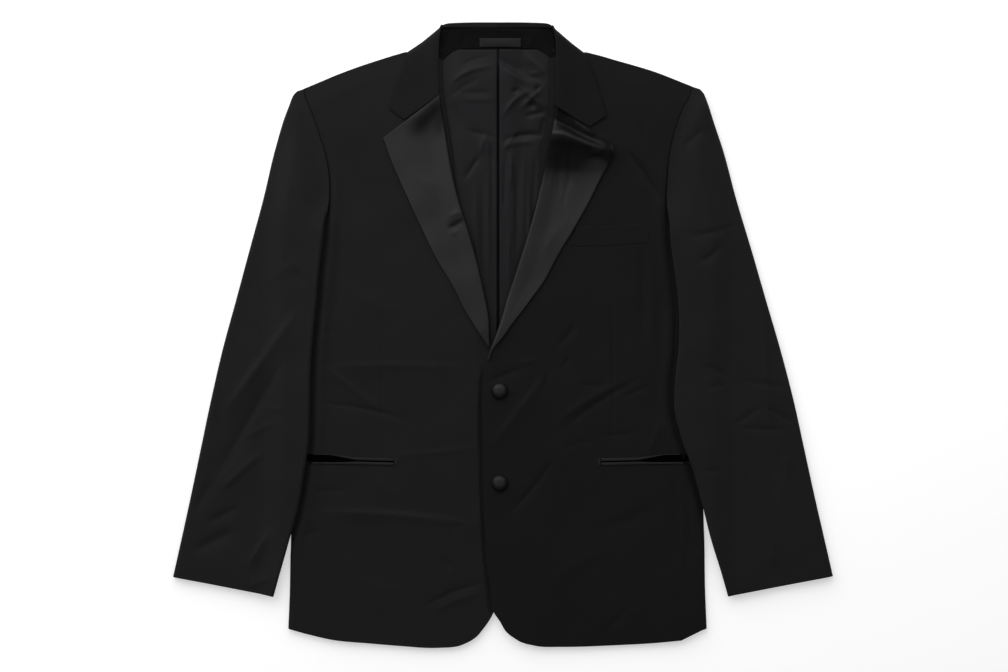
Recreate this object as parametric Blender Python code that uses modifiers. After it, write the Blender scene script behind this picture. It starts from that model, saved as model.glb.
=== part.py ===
"""A men's black dinner jacket, laid flat on its back with both fronts uppermost.

Sizes are in millimetres and become metres where a mesh is made. "Out" is the distance from the jacket's
centre line towards its side, and is negative past that line. "Up" runs from the hem towards the collar,
from the middle of the jacket's length. The wearer's right lies at -X and the wearer's left at +X.
Each piece of cloth is an open sheet, its outer face drawn by rows and columns, with a Solidify wall.
"""
import math

import bpy
import numpy as np

MM = 0.001
CENTRE = -7.0               # the centre line, across from the middle of the whole width
SIDES = {"right": -1, "left": 1}

SEAM = 0.3                  # gap between pieces sewn edge to edge
LAY = 0.7                   # gap between a piece and the one it lies on

BACK_WALL = 1.8
SIDE_WALL = 1.8
FRONT_WALL = 3.0            # outer cloth, canvas and facing together
PAD_WALL = 3.2              # what a shoulder pad adds to the front's wall
LAPEL_WALL = 2.0
COLLAR_WALL = 1.6
STAND_WALL = 1.2
LINING_WALL = 1.2
SLEEVE_WALL = 1.8
JET_WALL = 1.0
WELT_WALL = 1.4

SLEEVE_THICK = 7.4          # both layers of a sleeve and the air between them
FALL_RAISE = 2.0            # how far the collar's fall lifts the back's neck
FALL_UP = (250.0, 338.0)    # the back starts to rise towards the fall, and is fully raised
FALL_OUT = (116.0, 160.0)   # the raised part's side ends, and is flat again
SIDE_FOLD = 5.5             # radius of the side panel's fold
SIDE_SEAM_IN = {"right": 22.0, "left": 33.0}
SIDE_ROWS = np.linspace(0, 1, 15)
ARMHOLE_ROWS = 9
UNDERARM_SEAM_UP = 108.0    # where the side panel's seams reach the armhole
BACK_SEAM_IN = 35.0         # from the side fold in to the back's seam, on the underside
ROLL_IN = 4.6               # the front's edge stays this far inside the lapel's roll
BREAK_IN = 3.0              # and further inside at the lapel's lower end
ROLL_RISE = 1.5             # a turned edge stands this much prouder than its middle
LAPEL_RISE_IN = (3.0, 26.0)     # the rise is full up to here from the roll, and gone
COLLAR_RISE_IN = (3.0, 30.0)
LAPEL_CURL = 2.6            # depth of the lapel's roll
COLLAR_CURL = {"in": 3.2, "leaf": 2.7, "fall": 3.9}     # reach of the collar's roll, and depths
COLLAR_CLEAR = 0.3          # the collar's leaf clears the front by this much more than the lapel
LAP_DOWN = 0.6              # the right front sinks under the left one
LAP_UP = FRONT_WALL + LAY - LAP_DOWN
LAP_OUT = (22.0, 90.0)      # the overlap is full up to here from the centre line, and gone
LAP_TOP = (-5.0, 75.0)      # and full up to this level, and gone
SLEEVE_DROP = (9.0, 42.0)   # past the body's edge, a sleeve starts to sink, and lies on the table
SLEEVE_OPEN = (126.0, 180.0)    # above these levels a sleeve's inner fold opens to the armhole
SLEEVE_LIFT = (116.0, 152.0)    # and its underside comes away from the body
SLEEVE_BEND = 4.5           # radius of a sleeve's folds
SLEEVE_OUT_OF_ARMHOLE = 35.0    # its full thickness is reached this far from the armhole
TURN_UNDER = 12.0           # how far the top sleeve wraps on to the underside
ARMHOLE_GAP = 1.2           # between the back's armhole and the under sleeve
CAP_LAP = 2.0               # the sleeve's head laps over the armhole edge


def table(columns, *rows):
    """Rows of numbers under named columns, as one array for each column."""
    return {name: np.array(column, float) for name, column in zip(columns.split(), zip(*rows))}


# The side fold, from the hem to the underarm.
SIDE = table("up out", (-377, 268), (-328, 266), (-270, 265), (-165, 262), (-84, 258), (0, 260),
             (44, 264), (93, 268))

# The body's edge round the bottom of the armhole and up to the shoulder.
ARMHOLE = table("up out", (93, 268), (100, 262), (112, 247), (132, 231), (160, 222.5), (186, 221),
                (211, 222.6), (237, 228), (263, 236.5), (288, 246), (309, 253))

SHOULDER = table("out up", (253, 309), (249, 314), (201, 333.5), (147, 352.7), (129, 356.8), (112, 354.5),
                 (98, 354.5), (86, 357))
BACK_NECK = table("out up", (86, 357), (66, 362), (30, 365.2), (0, 365.6))
BACK_HEM = table("out up", (233, -373), (150, -366), (70, -356.5), (0, -352.7))

# Height of the fronts' outer face above the table, by level.
LOFT = table("up top", (-400, 7.4), (-300, 7.8), (-160, 8.4), (-40, 8.8), (90, 9.0), (200, 9.4),
             (310, 9.8), (400, 9.0))
PAD = {"out": 205.0, "up": 296.0, "across": 62.0, "along": 72.0}
SHOULDER_DROP = 2.2         # the fronts thin down to the shoulder seam by this much
SHOULDER_ROUND = 28.0       # over this distance below it
SHOULDER_OUT = (100.0, 150.0)   # from the collar outwards

HEM = {
    "right": table("out up", (246, -382.8), (215, -390), (164, -395.2), (125, -398.4), (76.5, -400.9),
                   (46.9, -397.7), (36, -393)),
    "left": table("out up", (234, -391.5), (196, -395.1), (147, -397.7), (80.3, -399.6), (54.6, -399),
                  (37, -395.5)),
}
FRONT_EDGE = {
    "right": table("out up", (36, -393), (27.6, -387.4), (18.6, -377.1), (10.9, -366.5), (4.5, -355.3),
                   (-4.5, -339), (-11, -318), (-16, -285), (-18.6, -238), (-19, -84), (-16, -55),
                   (-8, -34), (6, -23)),
    "left": table("out up", (37, -395.5), (28.9, -392.6), (22.5, -388.7), (10.9, -379.7), (3.2, -366.9),
                  (-4.5, -355.3), (-8.4, -328.3), (-12.2, -296.7), (-16.1, -238.4), (-18.6, -148.4),
                  (-19.3, -84.2), (-18.6, -39.2), (-13, -27), (-6, -20)),
}
ROLL = {
    "right": table("out up", (9.6, -13), (9.6, 2), (10.5, 24), (16.7, 57), (26.3, 95.7), (37.3, 134.3),
                   (49.5, 172.8), (58.5, 211.4), (64.9, 250), (71, 288.5), (73.9, 310), (75.2, 352.7)),
    "left": table("out up", (-6, -13), (-2.6, -0.6), (4.5, 18.6), (16.1, 57.2), (28.3, 95.7),
                  (40.5, 134.3), (50.8, 172.8), (59.8, 211.4), (67.5, 250), (72, 272), (75, 290.5),
                  (75.2, 352.7)),
}
# Lapels, from the lower tip up to the gorge: the roll on the inside and the free edge outside.
LAPEL_ROLL = {
    "right": table("out up", (9.6, 5), (10, 18), (12.3, 36), (16.7, 57), (26.3, 95.7), (37.3, 134.3),
                   (49.5, 172.8), (58.5, 211.4), (64.9, 250), (71, 288.5), (73.4, 306)),
    "left": table("out up", (-3.5, -3), (-1, 5), (4.5, 18.6), (16.1, 57.2), (28.3, 95.7),
                  (40.5, 134.3), (50.8, 172.8), (59.8, 211.4), (67.5, 250), (72, 272), (75, 290.5)),
}
LAPEL_EDGE = {
    "right": table("out up", (20, -1), (28, 12), (38, 29), (54, 57), (77, 95.7), (96, 134.3),
                   (113.7, 172.8), (125.3, 198.5), (136.9, 224.2), (143.5, 238), (145.8, 250.5)),
    "left": table("out up", (6.5, -7), (11, 1), (19, 12), (36, 34), (54, 57.2), (70, 83), (93, 121.4),
                  (109, 160), (119, 172.8), (131.6, 198.5), (144.5, 224.2), (147.2, 231), (147, 241.5)),
}

# The collar half as a strip, from its front end on the lapel to the centre of the back neck. Each row
# crosses the strip from the free edge to the roll. Face is the height of its outer side; over the
# shoulder the strip folds to the back, where that side faces down.
COLLAR = {
    "right": table("edge_out edge_up mid_out mid_up roll_out roll_up turn",
                   (138.1, 288.5, 118.9, 274.7, 73.9, 306.8, 0),
                   (135.5, 300, 116.5, 297, 74.3, 322, 0),
                   (130.5, 316, 110, 322, 75, 340, 0),
                   (124, 330, 104.5, 340.5, 75, 357, 0),
                   (117.5, 346, 101, 354, 74.5, 375, 0),
                   (115.8, 355, 98.5, 366.5, 73, 387, 24),
                   (114.2, 362.4, 97, 374, 71, 395, 90),
                   (110.5, 360, 94, 373.5, 68, 397.5, 140),
                   (99, 354.5, 85, 370, 62, 398.8, 180),
                   (73.9, 351, 66, 371, 50, 399.5, 180),
                   (40, 350, 36, 371, 28, 400, 180),
                   (0.15, 350, 0.15, 371, 0.15, 400, 180)),
    "left": table("edge_out edge_up mid_out mid_up roll_out roll_up turn",
                  (139.4, 279.5, 117.6, 265.8, 75.4, 291.5, 0),
                  (135, 293, 115.5, 289, 75, 309, 0),
                  (129.5, 309, 110.5, 314, 74.8, 332, 0),
                  (124, 328, 104.5, 338.5, 75, 355, 0),
                  (116.3, 346, 100.5, 354, 74.5, 374, 0),
                  (112.8, 355, 97, 366, 72.5, 386, 24),
                  (109.7, 361.8, 95, 373, 70, 394, 90),
                  (106.5, 360, 92, 373, 67.5, 397, 140),
                  (96, 354.5, 84, 370, 62, 398.8, 180),
                  (73.9, 351, 66, 371, 50, 399.5, 180),
                  (40, 350, 36, 371, 28, 400, 180),
                  (0.15, 350, 0.15, 371, 0.15, 400, 180)),
}
STAND = table("seam_out seam_up crest_out crest_up top", (-65, 340, -71, 342, 6.9),
              (-62, 356, -70, 364, 6.9), (-54, 367, -65, 383, 7.0), (-38, 366, -50, 391.5, 7.2),
              (-18, 365.4, -22, 393.5, 7.3), (18, 365.4, 22, 393.5, 7.3), (38, 366, 50, 391.5, 7.2),
              (54, 367, 65, 383, 7.0), (62, 356, 70, 364, 6.9), (65, 340, 71, 342, 6.9))
TAB = {"across": 53.0, "along": 11.6, "thick": 0.8, "out": 3.5, "up": 373.5}

LINING_OUTER = table("up out", (-45, 44), (20, 48), (95, 58), (190, 80), (290, 96), (345, 98), (365, 88))
LINING_TOP_UP = 364.9
LINING_FOOT_UP = -45.0
PLEAT_LAP = 12.0

# Sleeves: the inner line (armhole seam, then inner fold) and the outer fold, from shoulder to cuff.
SLEEVE_INNER = {
    "right": table("out up", (251.5, 310), (249, 301), (243.5, 288), (234.5, 262.8), (226.2, 237.1),
                   (220.4, 211.4), (218.6, 185.7), (219.1, 166.4), (221.7, 134.3), (228.1, 76.5),
                   (230.7, 44.3), (235.8, -7.1), (239, -58.5), (239.7, -97), (240.9, -135.6),
                   (246.1, -174.1), (252.5, -212.7), (266, -264.1), (276.9, -302.6), (286, -334.7)),
    "left": table("out up", (252.5, 310), (247.5, 300), (241, 288), (232, 262.8), (225.5, 237.1),
                  (222.3, 211.4), (220.6, 185.7), (219.6, 166.4), (219.9, 134.3), (226.8, 76.5),
                  (230.7, 44.3), (231.5, -15), (226.8, -60), (226.6, -97), (235.8, -135.6),
                  (249.9, -174.1), (260.2, -212.7), (273.1, -264.1), (285.3, -302.6), (294.7, -334.7)),
}
SLEEVE_OUTER = {
    "right": table("out up", (259.5, 307), (264.5, 297), (273.1, 275.6), (284.6, 237.1), (300, 172.8),
                   (317.4, 108.6), (334.7, 44.3), (352.1, -19.9), (366.9, -84.2), (380.4, -148.4),
                   (393.9, -212.7), (408, -276.9), (415.4, -310)),
    "left": table("out up", (261.5, 309), (267.5, 299), (275.6, 275.6), (288.5, 237.1), (305.8, 172.8),
                  (325.1, 108.6), (343.7, 44.3), (362.4, -19.9), (379.1, -84.2), (393.2, -148.4),
                  (407.3, -212.7), (422.1, -276.9), (429.4, -309)),
}

# The top sleeve's inner fold, from its edge on the underside to the top: degrees turned from the top,
# how far each point reaches into the armhole where the fold is open, and its share of the wrap.
INNER_FOLD = table("turn spread hook", (180, 3.6, 1), (150, 2.4, 0.3), (90, 1.2, 0), (40, 0.4, 0))
OUTER_TURNS = (50, 90, 135)

# Largest folds of the outer cloth: a soft ridge (or trough, where rise is negative) from one end to the
# other.
FRONT_FOLDS = {
    "right": table("out1 up1 out2 up2 rise width", (235, -35, 60, -42, -0.9, 22),
                   (240, -228, 60, -242, -1.0, 26)),
    "left": table("out1 up1 out2 up2 rise width", (195, -50, 75, -135, -1.0, 24),
                  (170, 220, 205, 90, -1.0, 26)),
}
LAPEL_FOLDS = {
    "right": table("out1 up1 out2 up2 rise width", (92, 205, 118, 165, 0.8, 14)),
    "left": table("out1 up1 out2 up2 rise width", (80, 282, 128, 262, 3.0, 11),
                  (84, 235, 88, 170, 1.2, 12)),
}
SLEEVE_FOLDS = {
    "right": table("out1 up1 out2 up2 rise width", (262, 28, 345, -92, 1.8, 17),
                   (285, -15, 350, -100, -1.2, 14), (300, -140, 362, -205, 1.4, 16),
                   (300, -255, 325, -300, 1.5, 14)),
    "left": table("out1 up1 out2 up2 rise width", (338, 85, 350, -140, -1.2, 20),
                  (240, -65, 275, -185, 1.5, 18), (300, -108, 375, -115, 1.4, 16)),
}

POCKET = {"inner_out": 132.7, "inner_up": -158.4, "outer_out": 258.0, "outer_up": -155.5, "strip": 4.9,
          "slit": 0.8, "middle_up": -160.5}
POCKET_BUMP = (14.0, 50.0)  # a sleeve rises over the pocket up to here from its middle, and not at all
WELT = table("out low high", (91, 113, 137.5), (110, 112.6, 138.2), (150, 114, 140), (194, 117, 141.5))
WELT_SLANT = 10.0           # the welt's inner end follows the lapel's edge
BUTTON = {"radius": 11.3, "height": 4.6, "out": 2.6}
BUTTON_UPS = {"upper": -72.0, "lower": -189.5}


# ---------------------------------------------------------------- lines and heights

def smooth(marks, values, places):
    """Values at some places, on a smooth line through the values known at the marks."""
    slopes = np.gradient(values, marks, axis=0)
    places = np.clip(np.asarray(places, float), marks[0], marks[-1])
    first = np.clip(np.searchsorted(marks, places) - 1, 0, len(marks) - 2)
    span = marks[first + 1] - marks[first]
    t = (places - marks[first]) / span
    if values.ndim > 1:
        span, t = span[..., None], t[..., None]
    start = (1 + 2 * t) * (1 - t) ** 2 * values[first] + t * (1 - t) ** 2 * span * slopes[first]
    end = t * t * (3 - 2 * t) * values[first + 1] + t * t * (t - 1) * span * slopes[first + 1]
    return start + end


def lengths(points):
    """Share of a line's whole length at each of its points."""
    steps = np.linalg.norm(np.diff(points, axis=0), axis=1)
    return np.concatenate([[0], np.cumsum(steps)]) / steps.sum()


def along(points, shares):
    """Points at shares, 0 to 1, of the length of a smooth line through the given ones."""
    return smooth(lengths(points), points, shares)


def pairs(source):
    """A table's out and up columns as points."""
    return np.column_stack([source["out"], source["up"]])


def ease(low, high, value):
    """Smooth step: 0 up to low, 1 from high on."""
    t = np.clip((value - low) / (high - low), 0, 1)
    return t * t * (3 - 2 * t)


def level(source, name, up):
    """A table's value at a level, smoothly between its rows."""
    return smooth(source["up"], source[name], up)


def side_out(up):
    """The side fold's distance from the centre line."""
    return level(SIDE, "out", up)


def body_out(up):
    """The body's edge at a level: the side fold, and above the underarm the armhole."""
    return np.where(up < ARMHOLE["up"][0], side_out(up), level(ARMHOLE, "out", up))


def folds(source, out, up):
    """Sum of a table's soft ridges and troughs."""
    total = np.zeros(np.broadcast(out, up).shape)
    for o1, u1, o2, u2, rise, width in zip(*source.values()):
        length = math.hypot(o2 - o1, u2 - u1)
        share = ((out - o1) * (o2 - o1) + (up - u1) * (u2 - u1)) / length ** 2
        apart = ((out - o1) * (u2 - u1) - (up - u1) * (o2 - o1)) / length
        ends = ease(-0.2, 0.25, share) * (1 - ease(0.75, 1.2, share))
        total = total + rise * ends * np.exp(-(apart / width) ** 2)
    return total


def pad(out, up):
    """Share of the shoulder pad's full thickness at a place."""
    return np.exp(-((out - PAD["out"]) / PAD["across"]) ** 2 - ((up - PAD["up"]) / PAD["along"]) ** 2)


def back_top(out, up):
    """Upper face of the back: flat, and lifted at the neck by the collar's fall under it."""
    return BACK_WALL + FALL_RAISE * ease(*FALL_UP, up) * (1 - ease(*FALL_OUT, out))


def front_top(side, out, up):
    """Upper face of a front and its side panel."""
    height = level(LOFT, "top", up) + PAD_WALL * pad(out, up)
    line = np.interp(-out, -SHOULDER["out"], SHOULDER["up"])
    height = height - SHOULDER_DROP * (1 - ease(0, SHOULDER_ROUND, line - up)) * ease(*SHOULDER_OUT, out)
    near = (1 - ease(*LAP_OUT, out)) * (1 - ease(*LAP_TOP, up))
    height = height + near * (LAP_UP if side == "left" else -LAP_DOWN)
    return height + folds(FRONT_FOLDS[side], out, up)


# ---------------------------------------------------------------- meshes

def finish(name, color, roughness):
    """A plain Principled finish."""
    material = bpy.data.materials.new(name)
    material.use_nodes = True
    shader = material.node_tree.nodes["Principled BSDF"]
    shader.inputs["Base Color"].default_value = (*color, 1)
    shader.inputs["Roughness"].default_value = roughness
    shader.inputs["Metallic"].default_value = 0
    return material


def add(name, mesh, material):
    """Put a mesh in the jacket's collection as an object of its own."""
    thing = bpy.data.objects.new(name, mesh)
    bpy.data.collections["dinner_jacket"].objects.link(thing)
    thing.data.materials.append(material)
    return thing


def sheet(name, side, grid, wall, material, thinned=None, faces_up=True):
    """A wall of cloth behind a grid of (out, up, height) points, shape (rows, columns, 3).

    The grid is the cloth's outer face, which faces up at its highest point unless told otherwise.
    Thinned, where given, is the wall at each point as a share of the whole wall.
    """
    rows, columns = grid.shape[:2]
    points = grid.reshape(-1, 3) * MM
    points[:, 0] = CENTRE * MM + SIDES[side] * points[:, 0]
    index = np.arange(rows * columns).reshape(rows, columns)
    near, far = (index[:-1, :-1], index[:-1, 1:]), (index[1:, :-1], index[1:, 1:])
    halves = [np.stack([near[0], near[1], far[1]], -1), np.stack([near[0], far[1], far[0]], -1)]
    faces = np.concatenate(halves).reshape(-1, 3)
    corners = points[faces]
    highest = corners[corners[..., 2].mean(1).argmax()]
    across = np.cross(highest[1] - highest[0], highest[2] - highest[0])
    if (across[2] > 0) != faces_up:
        faces = faces[:, ::-1]
    mesh = bpy.data.meshes.new(name)
    mesh.from_pydata(points.tolist(), [], faces.tolist())
    mesh.shade_smooth()
    thing = add(name, mesh, material)
    cloth = thing.modifiers.new("wall", "SOLIDIFY")
    cloth.thickness = wall * MM
    cloth.offset = -1
    if thinned is not None:
        group = thing.vertex_groups.new(name="wall")
        for number, share in enumerate(thinned.ravel()):
            group.add([number], float(share), "REPLACE")
        cloth.vertex_group = group.name
        cloth.thickness_vertex_group = 0
    return thing


def patch(foot, head, side_line, front_line, across):
    """Grid of (out, up) filling four edge lines that meet at their ends.

    Columns are at shares across, and there is a row at each point of the side line.
    """
    levels = lengths(side_line)
    u, v = across[None, :, None], levels[:, None, None]
    low, high = along(foot, across)[None], along(head, across)[None]
    first, last = side_line[:, None], along(front_line, levels)[:, None]
    corners = ((1 - u) * (1 - v) * low[:, :1] + u * (1 - v) * low[:, -1:]
               + (1 - u) * v * high[:, :1] + u * v * high[:, -1:])
    return (1 - v) * low + v * high + (1 - u) * first + u * last - corners


def lifted(flat, height):
    """A flat grid with its heights added."""
    return np.concatenate([flat, height[..., None]], -1)


# ---------------------------------------------------------------- pieces

def side_edge(inset, foot_up):
    """A panel's long edge: by the side panel's rows, then round the armhole to the shoulder."""
    ups = foot_up + SIDE_ROWS * (UNDERARM_SEAM_UP - foot_up)
    seam = np.column_stack([side_out(ups) - inset, ups])
    armhole = np.vstack([seam[-1:], pairs(ARMHOLE)[3:]])
    return np.vstack([seam, along(armhole, np.linspace(0, 1, ARMHOLE_ROWS + 1))[1:]])


def make_back(side, cloth):
    shoulder = np.vstack([pairs(SHOULDER), pairs(BACK_NECK)[1:]])
    shoulder[0] = pairs(ARMHOLE)[-1]
    hem = pairs(BACK_HEM)
    hem[-1, 0] = shoulder[-1, 0] = SEAM / 2
    edge = side_edge(BACK_SEAM_IN + SEAM, hem[0, 1])
    hem[0] = edge[0]
    centre = np.array([hem[-1], shoulder[-1]])
    flat = patch(hem, shoulder, edge, centre, np.array((0, 0.27, 0.48, 0.58, 0.68, 1)))
    sheet(f"back_{side}", side, lifted(flat, back_top(flat[..., 0], flat[..., 1])), BACK_WALL, cloth)


def make_side(side, cloth):
    """The underarm panel: from the front's seam, round the side fold, to the back's seam."""
    inset = SIDE_SEAM_IN[side]
    hem_up = HEM[side]["up"][0]
    places = table("place turn foot head", (inset, 0, hem_up, UNDERARM_SEAM_UP),
                   (inset * 0.55, 0, hem_up + 4, 101), (SIDE_FOLD, 0, -378, 95),
                   (SIDE_FOLD, 45, -377, 94), (SIDE_FOLD, 90, -376, 93), (SIDE_FOLD, 180, -376, 95),
                   (BACK_SEAM_IN, 180, -373, UNDERARM_SEAM_UP))
    v = SIDE_ROWS[:, None]
    up = places["foot"] + v * (places["head"] - places["foot"])
    turn = np.radians(places["turn"])
    inside = places["place"] - SIDE_FOLD * np.sin(turn)
    out = side_out(up) - inside
    height = front_top(side, out, up) * (1 + np.cos(turn)) / 2
    sheet(f"side_{side}", side, lifted(np.stack([out, up], -1), height), SIDE_WALL, cloth)


def make_front(side, cloth):
    hem = pairs(HEM[side])
    roll = pairs(ROLL[side])
    roll[:, 0] += ROLL_IN + BREAK_IN * (1 - ease(0, 60, roll[:, 1]))
    front = np.vstack([pairs(FRONT_EDGE[side]), roll])
    shoulder = np.vstack([pairs(ARMHOLE)[-1:], pairs(SHOULDER)[1:], roll[-1:]])
    edge = side_edge(SIDE_SEAM_IN[side] + SEAM, hem[0, 1])
    hem[0] = edge[0]
    flat = patch(hem, shoulder, edge, front, np.linspace(0, 1, 10))
    out, up = flat[..., 0], flat[..., 1]
    whole = FRONT_WALL + PAD_WALL
    wall = (FRONT_WALL + PAD_WALL * pad(out, up)) / whole
    sheet(f"front_{side}", side, lifted(flat, front_top(side, out, up)), whole, cloth, wall)


def curl(top, radius_out, radius_up, turns):
    """Offsets inward and heights of a roll that turns down from its top."""
    turn = np.radians(turns)
    return radius_out * (1 - np.sin(turn)), top - radius_up * (1 - np.cos(turn))


def make_lapel(side, satin):
    """The turned front and its facing: flat on the front, rising to its roll and curling down."""
    shares = np.linspace(0, 1, 14)
    roll = along(pairs(LAPEL_ROLL[side]), shares)
    edge = along(pairs(LAPEL_EDGE[side]), shares)
    width = np.linalg.norm(edge - roll, axis=1)
    direction = (edge - roll) / width[:, None]
    turn_in = np.minimum(LAPEL_RISE_IN[0], width * 0.45)
    rows = []
    for share in (1.0, 0.7, 0.42, 0.18):
        place = roll + direction * (turn_in + share * (width - turn_in))[:, None]
        far = np.linalg.norm(place - roll, axis=1)
        height = front_top(side, *place.T) + LAY + LAPEL_WALL
        height += ROLL_RISE * (1 - ease(*LAPEL_RISE_IN, far)) + folds(LAPEL_FOLDS[side], *place.T)
        rows.append(lifted(place, height))
    base = front_top(side, *roll.T) + LAY + LAPEL_WALL + ROLL_RISE + folds(LAPEL_FOLDS[side], *roll.T)
    depth = np.minimum(LAPEL_CURL, width * 0.22)
    for turn in (0, 45, 90, 150):
        inward, height = curl(base, 1.0, depth, turn)
        rows.append(lifted(roll + direction * (turn_in * inward)[:, None], height))
    sheet(f"lapel_{side}", side, np.array(rows), LAPEL_WALL, satin)


def make_collar(side, cloth):
    """Half of the collar: its leaf on the front, folded over the shoulder line to the fall behind."""
    source = COLLAR[side]
    rows_known = np.arange(len(source["turn"]))
    places = np.sort(np.append(rows_known, (4.5, 5.5, 6.5)))
    edge, mid, roll = [
        smooth(rows_known, np.column_stack([source[name + "_out"], source[name + "_up"]]), places)
        for name in ("edge", "mid", "roll")]
    behind = (1 - np.cos(np.radians(np.interp(places, rows_known, source["turn"])))) / 2
    inward = (mid - roll) / np.linalg.norm(mid - roll, axis=1)[:, None]
    flat = [edge, (edge + mid) / 2, mid, (mid + roll) / 2]
    rows = []
    for place in flat:
        near = 1 - ease(*COLLAR_RISE_IN, np.linalg.norm(place - roll, axis=1))
        leaf = front_top(side, *place.T) + LAY + COLLAR_WALL + COLLAR_CLEAR + ROLL_RISE * near
        rows.append(lifted(place, leaf * (1 - behind)))
    leaf = front_top(side, *roll.T) + LAY + COLLAR_WALL + ROLL_RISE
    curled = abs(1 - 2 * behind)
    for turn, spread in ((0, 1.0), (45, 0.67), (90, 0.33), (150, 0)):
        back_in, drop = curl(0.0, 1.0, 1.0, turn)
        place = COLLAR_CURL["in"] * (curled * back_in + (1 - curled) * spread)
        height = (leaf + COLLAR_CURL["leaf"] * curled * drop) * (1 - behind)
        height -= COLLAR_CURL["fall"] * curled * drop * behind
        rows.append(lifted(roll + inward * place[:, None], height))
    sheet(f"collar_{side}", side, np.array(rows), COLLAR_WALL, cloth)


def make_stand(cloth):
    """The band inside the back neck, its ends turned down along the rolls."""
    known = np.arange(len(STAND["top"]))
    places = np.linspace(0, known[-1], 2 * len(known) - 1)
    rows = []
    for name in ("seam", "crest"):
        column = np.column_stack([STAND[name + "_out"], STAND[name + "_up"], STAND["top"]])
        rows.append(smooth(known, column, places))
    rows.insert(1, (rows[0] + rows[1]) / 2)
    sheet("collar_stand", "left", np.array(rows), STAND_WALL, cloth)


def make_tab(ribbon):
    """The small blank band on the stand."""
    bpy.ops.mesh.primitive_cube_add(size=MM)
    thing = bpy.context.active_object
    thing.name = thing.data.name = "neck_tab"
    thing.scale = (TAB["across"], TAB["along"], TAB["thick"])
    top = STAND["top"].max() + SEAM + TAB["thick"] / 2
    thing.location = ((CENTRE + TAB["out"]) * MM, TAB["up"] * MM, top * MM)
    bpy.ops.object.transform_apply(location=False, rotation=False, scale=True)
    for holder in thing.users_collection:
        holder.objects.unlink(thing)
    bpy.data.collections["dinner_jacket"].objects.link(thing)
    thing.data.materials.append(ribbon)


def make_lining(side, cloth):
    """The back's lining where the neck opening shows it, lapped at the centre as a pleat."""
    shares = np.linspace(0, 1, 4)[None]
    ups = np.linspace(LINING_FOOT_UP, LINING_TOP_UP, 15)[:, None]
    outer = level(LINING_OUTER, "out", ups)
    lapped = PLEAT_LAP + 3
    inner = -PLEAT_LAP if side == "right" else 0.0
    out = np.hstack([np.full_like(ups, inner), lapped + shares * (outer - lapped)])
    up = ups + 0 * out
    height = back_top(out, up) + SEAM + LINING_WALL
    if side == "left":
        height = height + (LINING_WALL + SEAM) * (1 - ease(lapped, lapped + 20, out))
    sheet(f"lining_{side}", side, lifted(np.stack([out, up], -1), height), LINING_WALL, cloth)


def sleeve_floor(side, out, up):
    """What a sleeve lies on: the front with its pocket, and the table past the body's edge."""
    past = out - body_out(up)
    pocket = (1 - ease(*POCKET_BUMP, abs(up - POCKET["middle_up"]))) * (JET_WALL + 2 * SEAM)
    return (front_top(side, out, up) + pocket + LAY) * (1 - ease(*SLEEVE_DROP, past))


def make_sleeve(side, cloth):
    """The top sleeve, wrapped round both folds, and the flat under sleeve between its turned edges."""
    levels = np.concatenate([np.linspace(0, 0.19, 5), np.linspace(0.235, 0.34, 4), np.linspace(0.41, 1, 9)])
    inner = along(pairs(SLEEVE_INNER[side]), levels)
    outer = along(pairs(SLEEVE_OUTER[side]), levels)
    upper, under = [], []
    for start, end in zip(inner, outer):
        width = np.linalg.norm(end - start)
        across = (end - start) / width
        rolled = 1 - ease(*SLEEVE_OPEN, start[1])
        bend = min(SLEEVE_BEND, width * 0.3)
        wrap = min(TURN_UNDER, width * 0.45)

        def section(place, turn, on_body=False):
            """Point at a distance across the sleeve, on a layer turned from the top by some degrees."""
            spot = start + across * place
            floor = sleeve_floor(side, *spot)
            low = floor if on_body else floor * (1 - ease(*SLEEVE_LIFT, spot[1]))
            both = rolled + (1 - rolled) * ease(0, SLEEVE_OUT_OF_ARMHOLE, place)
            swell = folds(SLEEVE_FOLDS[side], *spot) * ease(4, 16, place) * (1 - ease(-16, -4, place - width))
            high = floor + SLEEVE_WALL + (SLEEVE_THICK - SLEEVE_WALL) * both + swell
            return [*spot, low + (high - low) * (1 + math.cos(math.radians(turn))) / 2]

        row = []
        hooked = (wrap - bend) * ease(0.75, 1, rolled)
        for turn, spread, hook in zip(*INNER_FOLD.values()):
            place = bend * (1 - math.sin(math.radians(turn * rolled))) - spread * (1 - rolled) ** 2
            row.append(section(place + hook * hooked, turn * rolled, on_body=True))
        for place in np.linspace(bend, width - bend, 6):
            row.append(section(place, 0))
        for turn in OUTER_TURNS:
            row.append(section(width - bend * (1 - math.sin(math.radians(turn))), turn))
        row.append(section(width - wrap, 180))
        upper.append(row)

        first = CAP_LAP + ARMHOLE_GAP
        for _ in range(4):
            spot = start + across * first
            first = max(first + (body_out(spot[1]) + ARMHOLE_GAP - spot[0]) / across[0], CAP_LAP)
        if start[1] < ARMHOLE["up"][0]:
            first = wrap + 2 * SEAM
        last = width - wrap - 2 * SEAM
        first = min(first, last - 1.0)
        under.append([section(place, 180) for place in np.linspace(first, last, 6)])
    sheet(f"top_sleeve_{side}", side, np.array(upper), SLEEVE_WALL, cloth)
    sheet(f"under_sleeve_{side}", side, np.array(under)[2:], SLEEVE_WALL, cloth, faces_up=False)


def make_pocket(side, satin):
    """The two jets of a hip pocket."""
    for number, name in enumerate(("upper", "lower")):
        shares = np.linspace(0, 1, 9)
        start = np.array([POCKET["inner_out"], POCKET["inner_up"]])
        end = np.array([POCKET["outer_out"], POCKET["outer_up"]])
        top_edge = start + shares[:, None] * (end - start)
        top_edge[:, 1] -= number * (POCKET["strip"] + POCKET["slit"])
        rows = []
        for drop in (0, POCKET["strip"]):
            flat = top_edge - (0, drop)
            rows.append(lifted(flat, front_top(side, *flat.T) + SEAM + JET_WALL))
        sheet(f"pocket_jet_{name}_{side}", side, np.array(rows), JET_WALL, satin)


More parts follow.
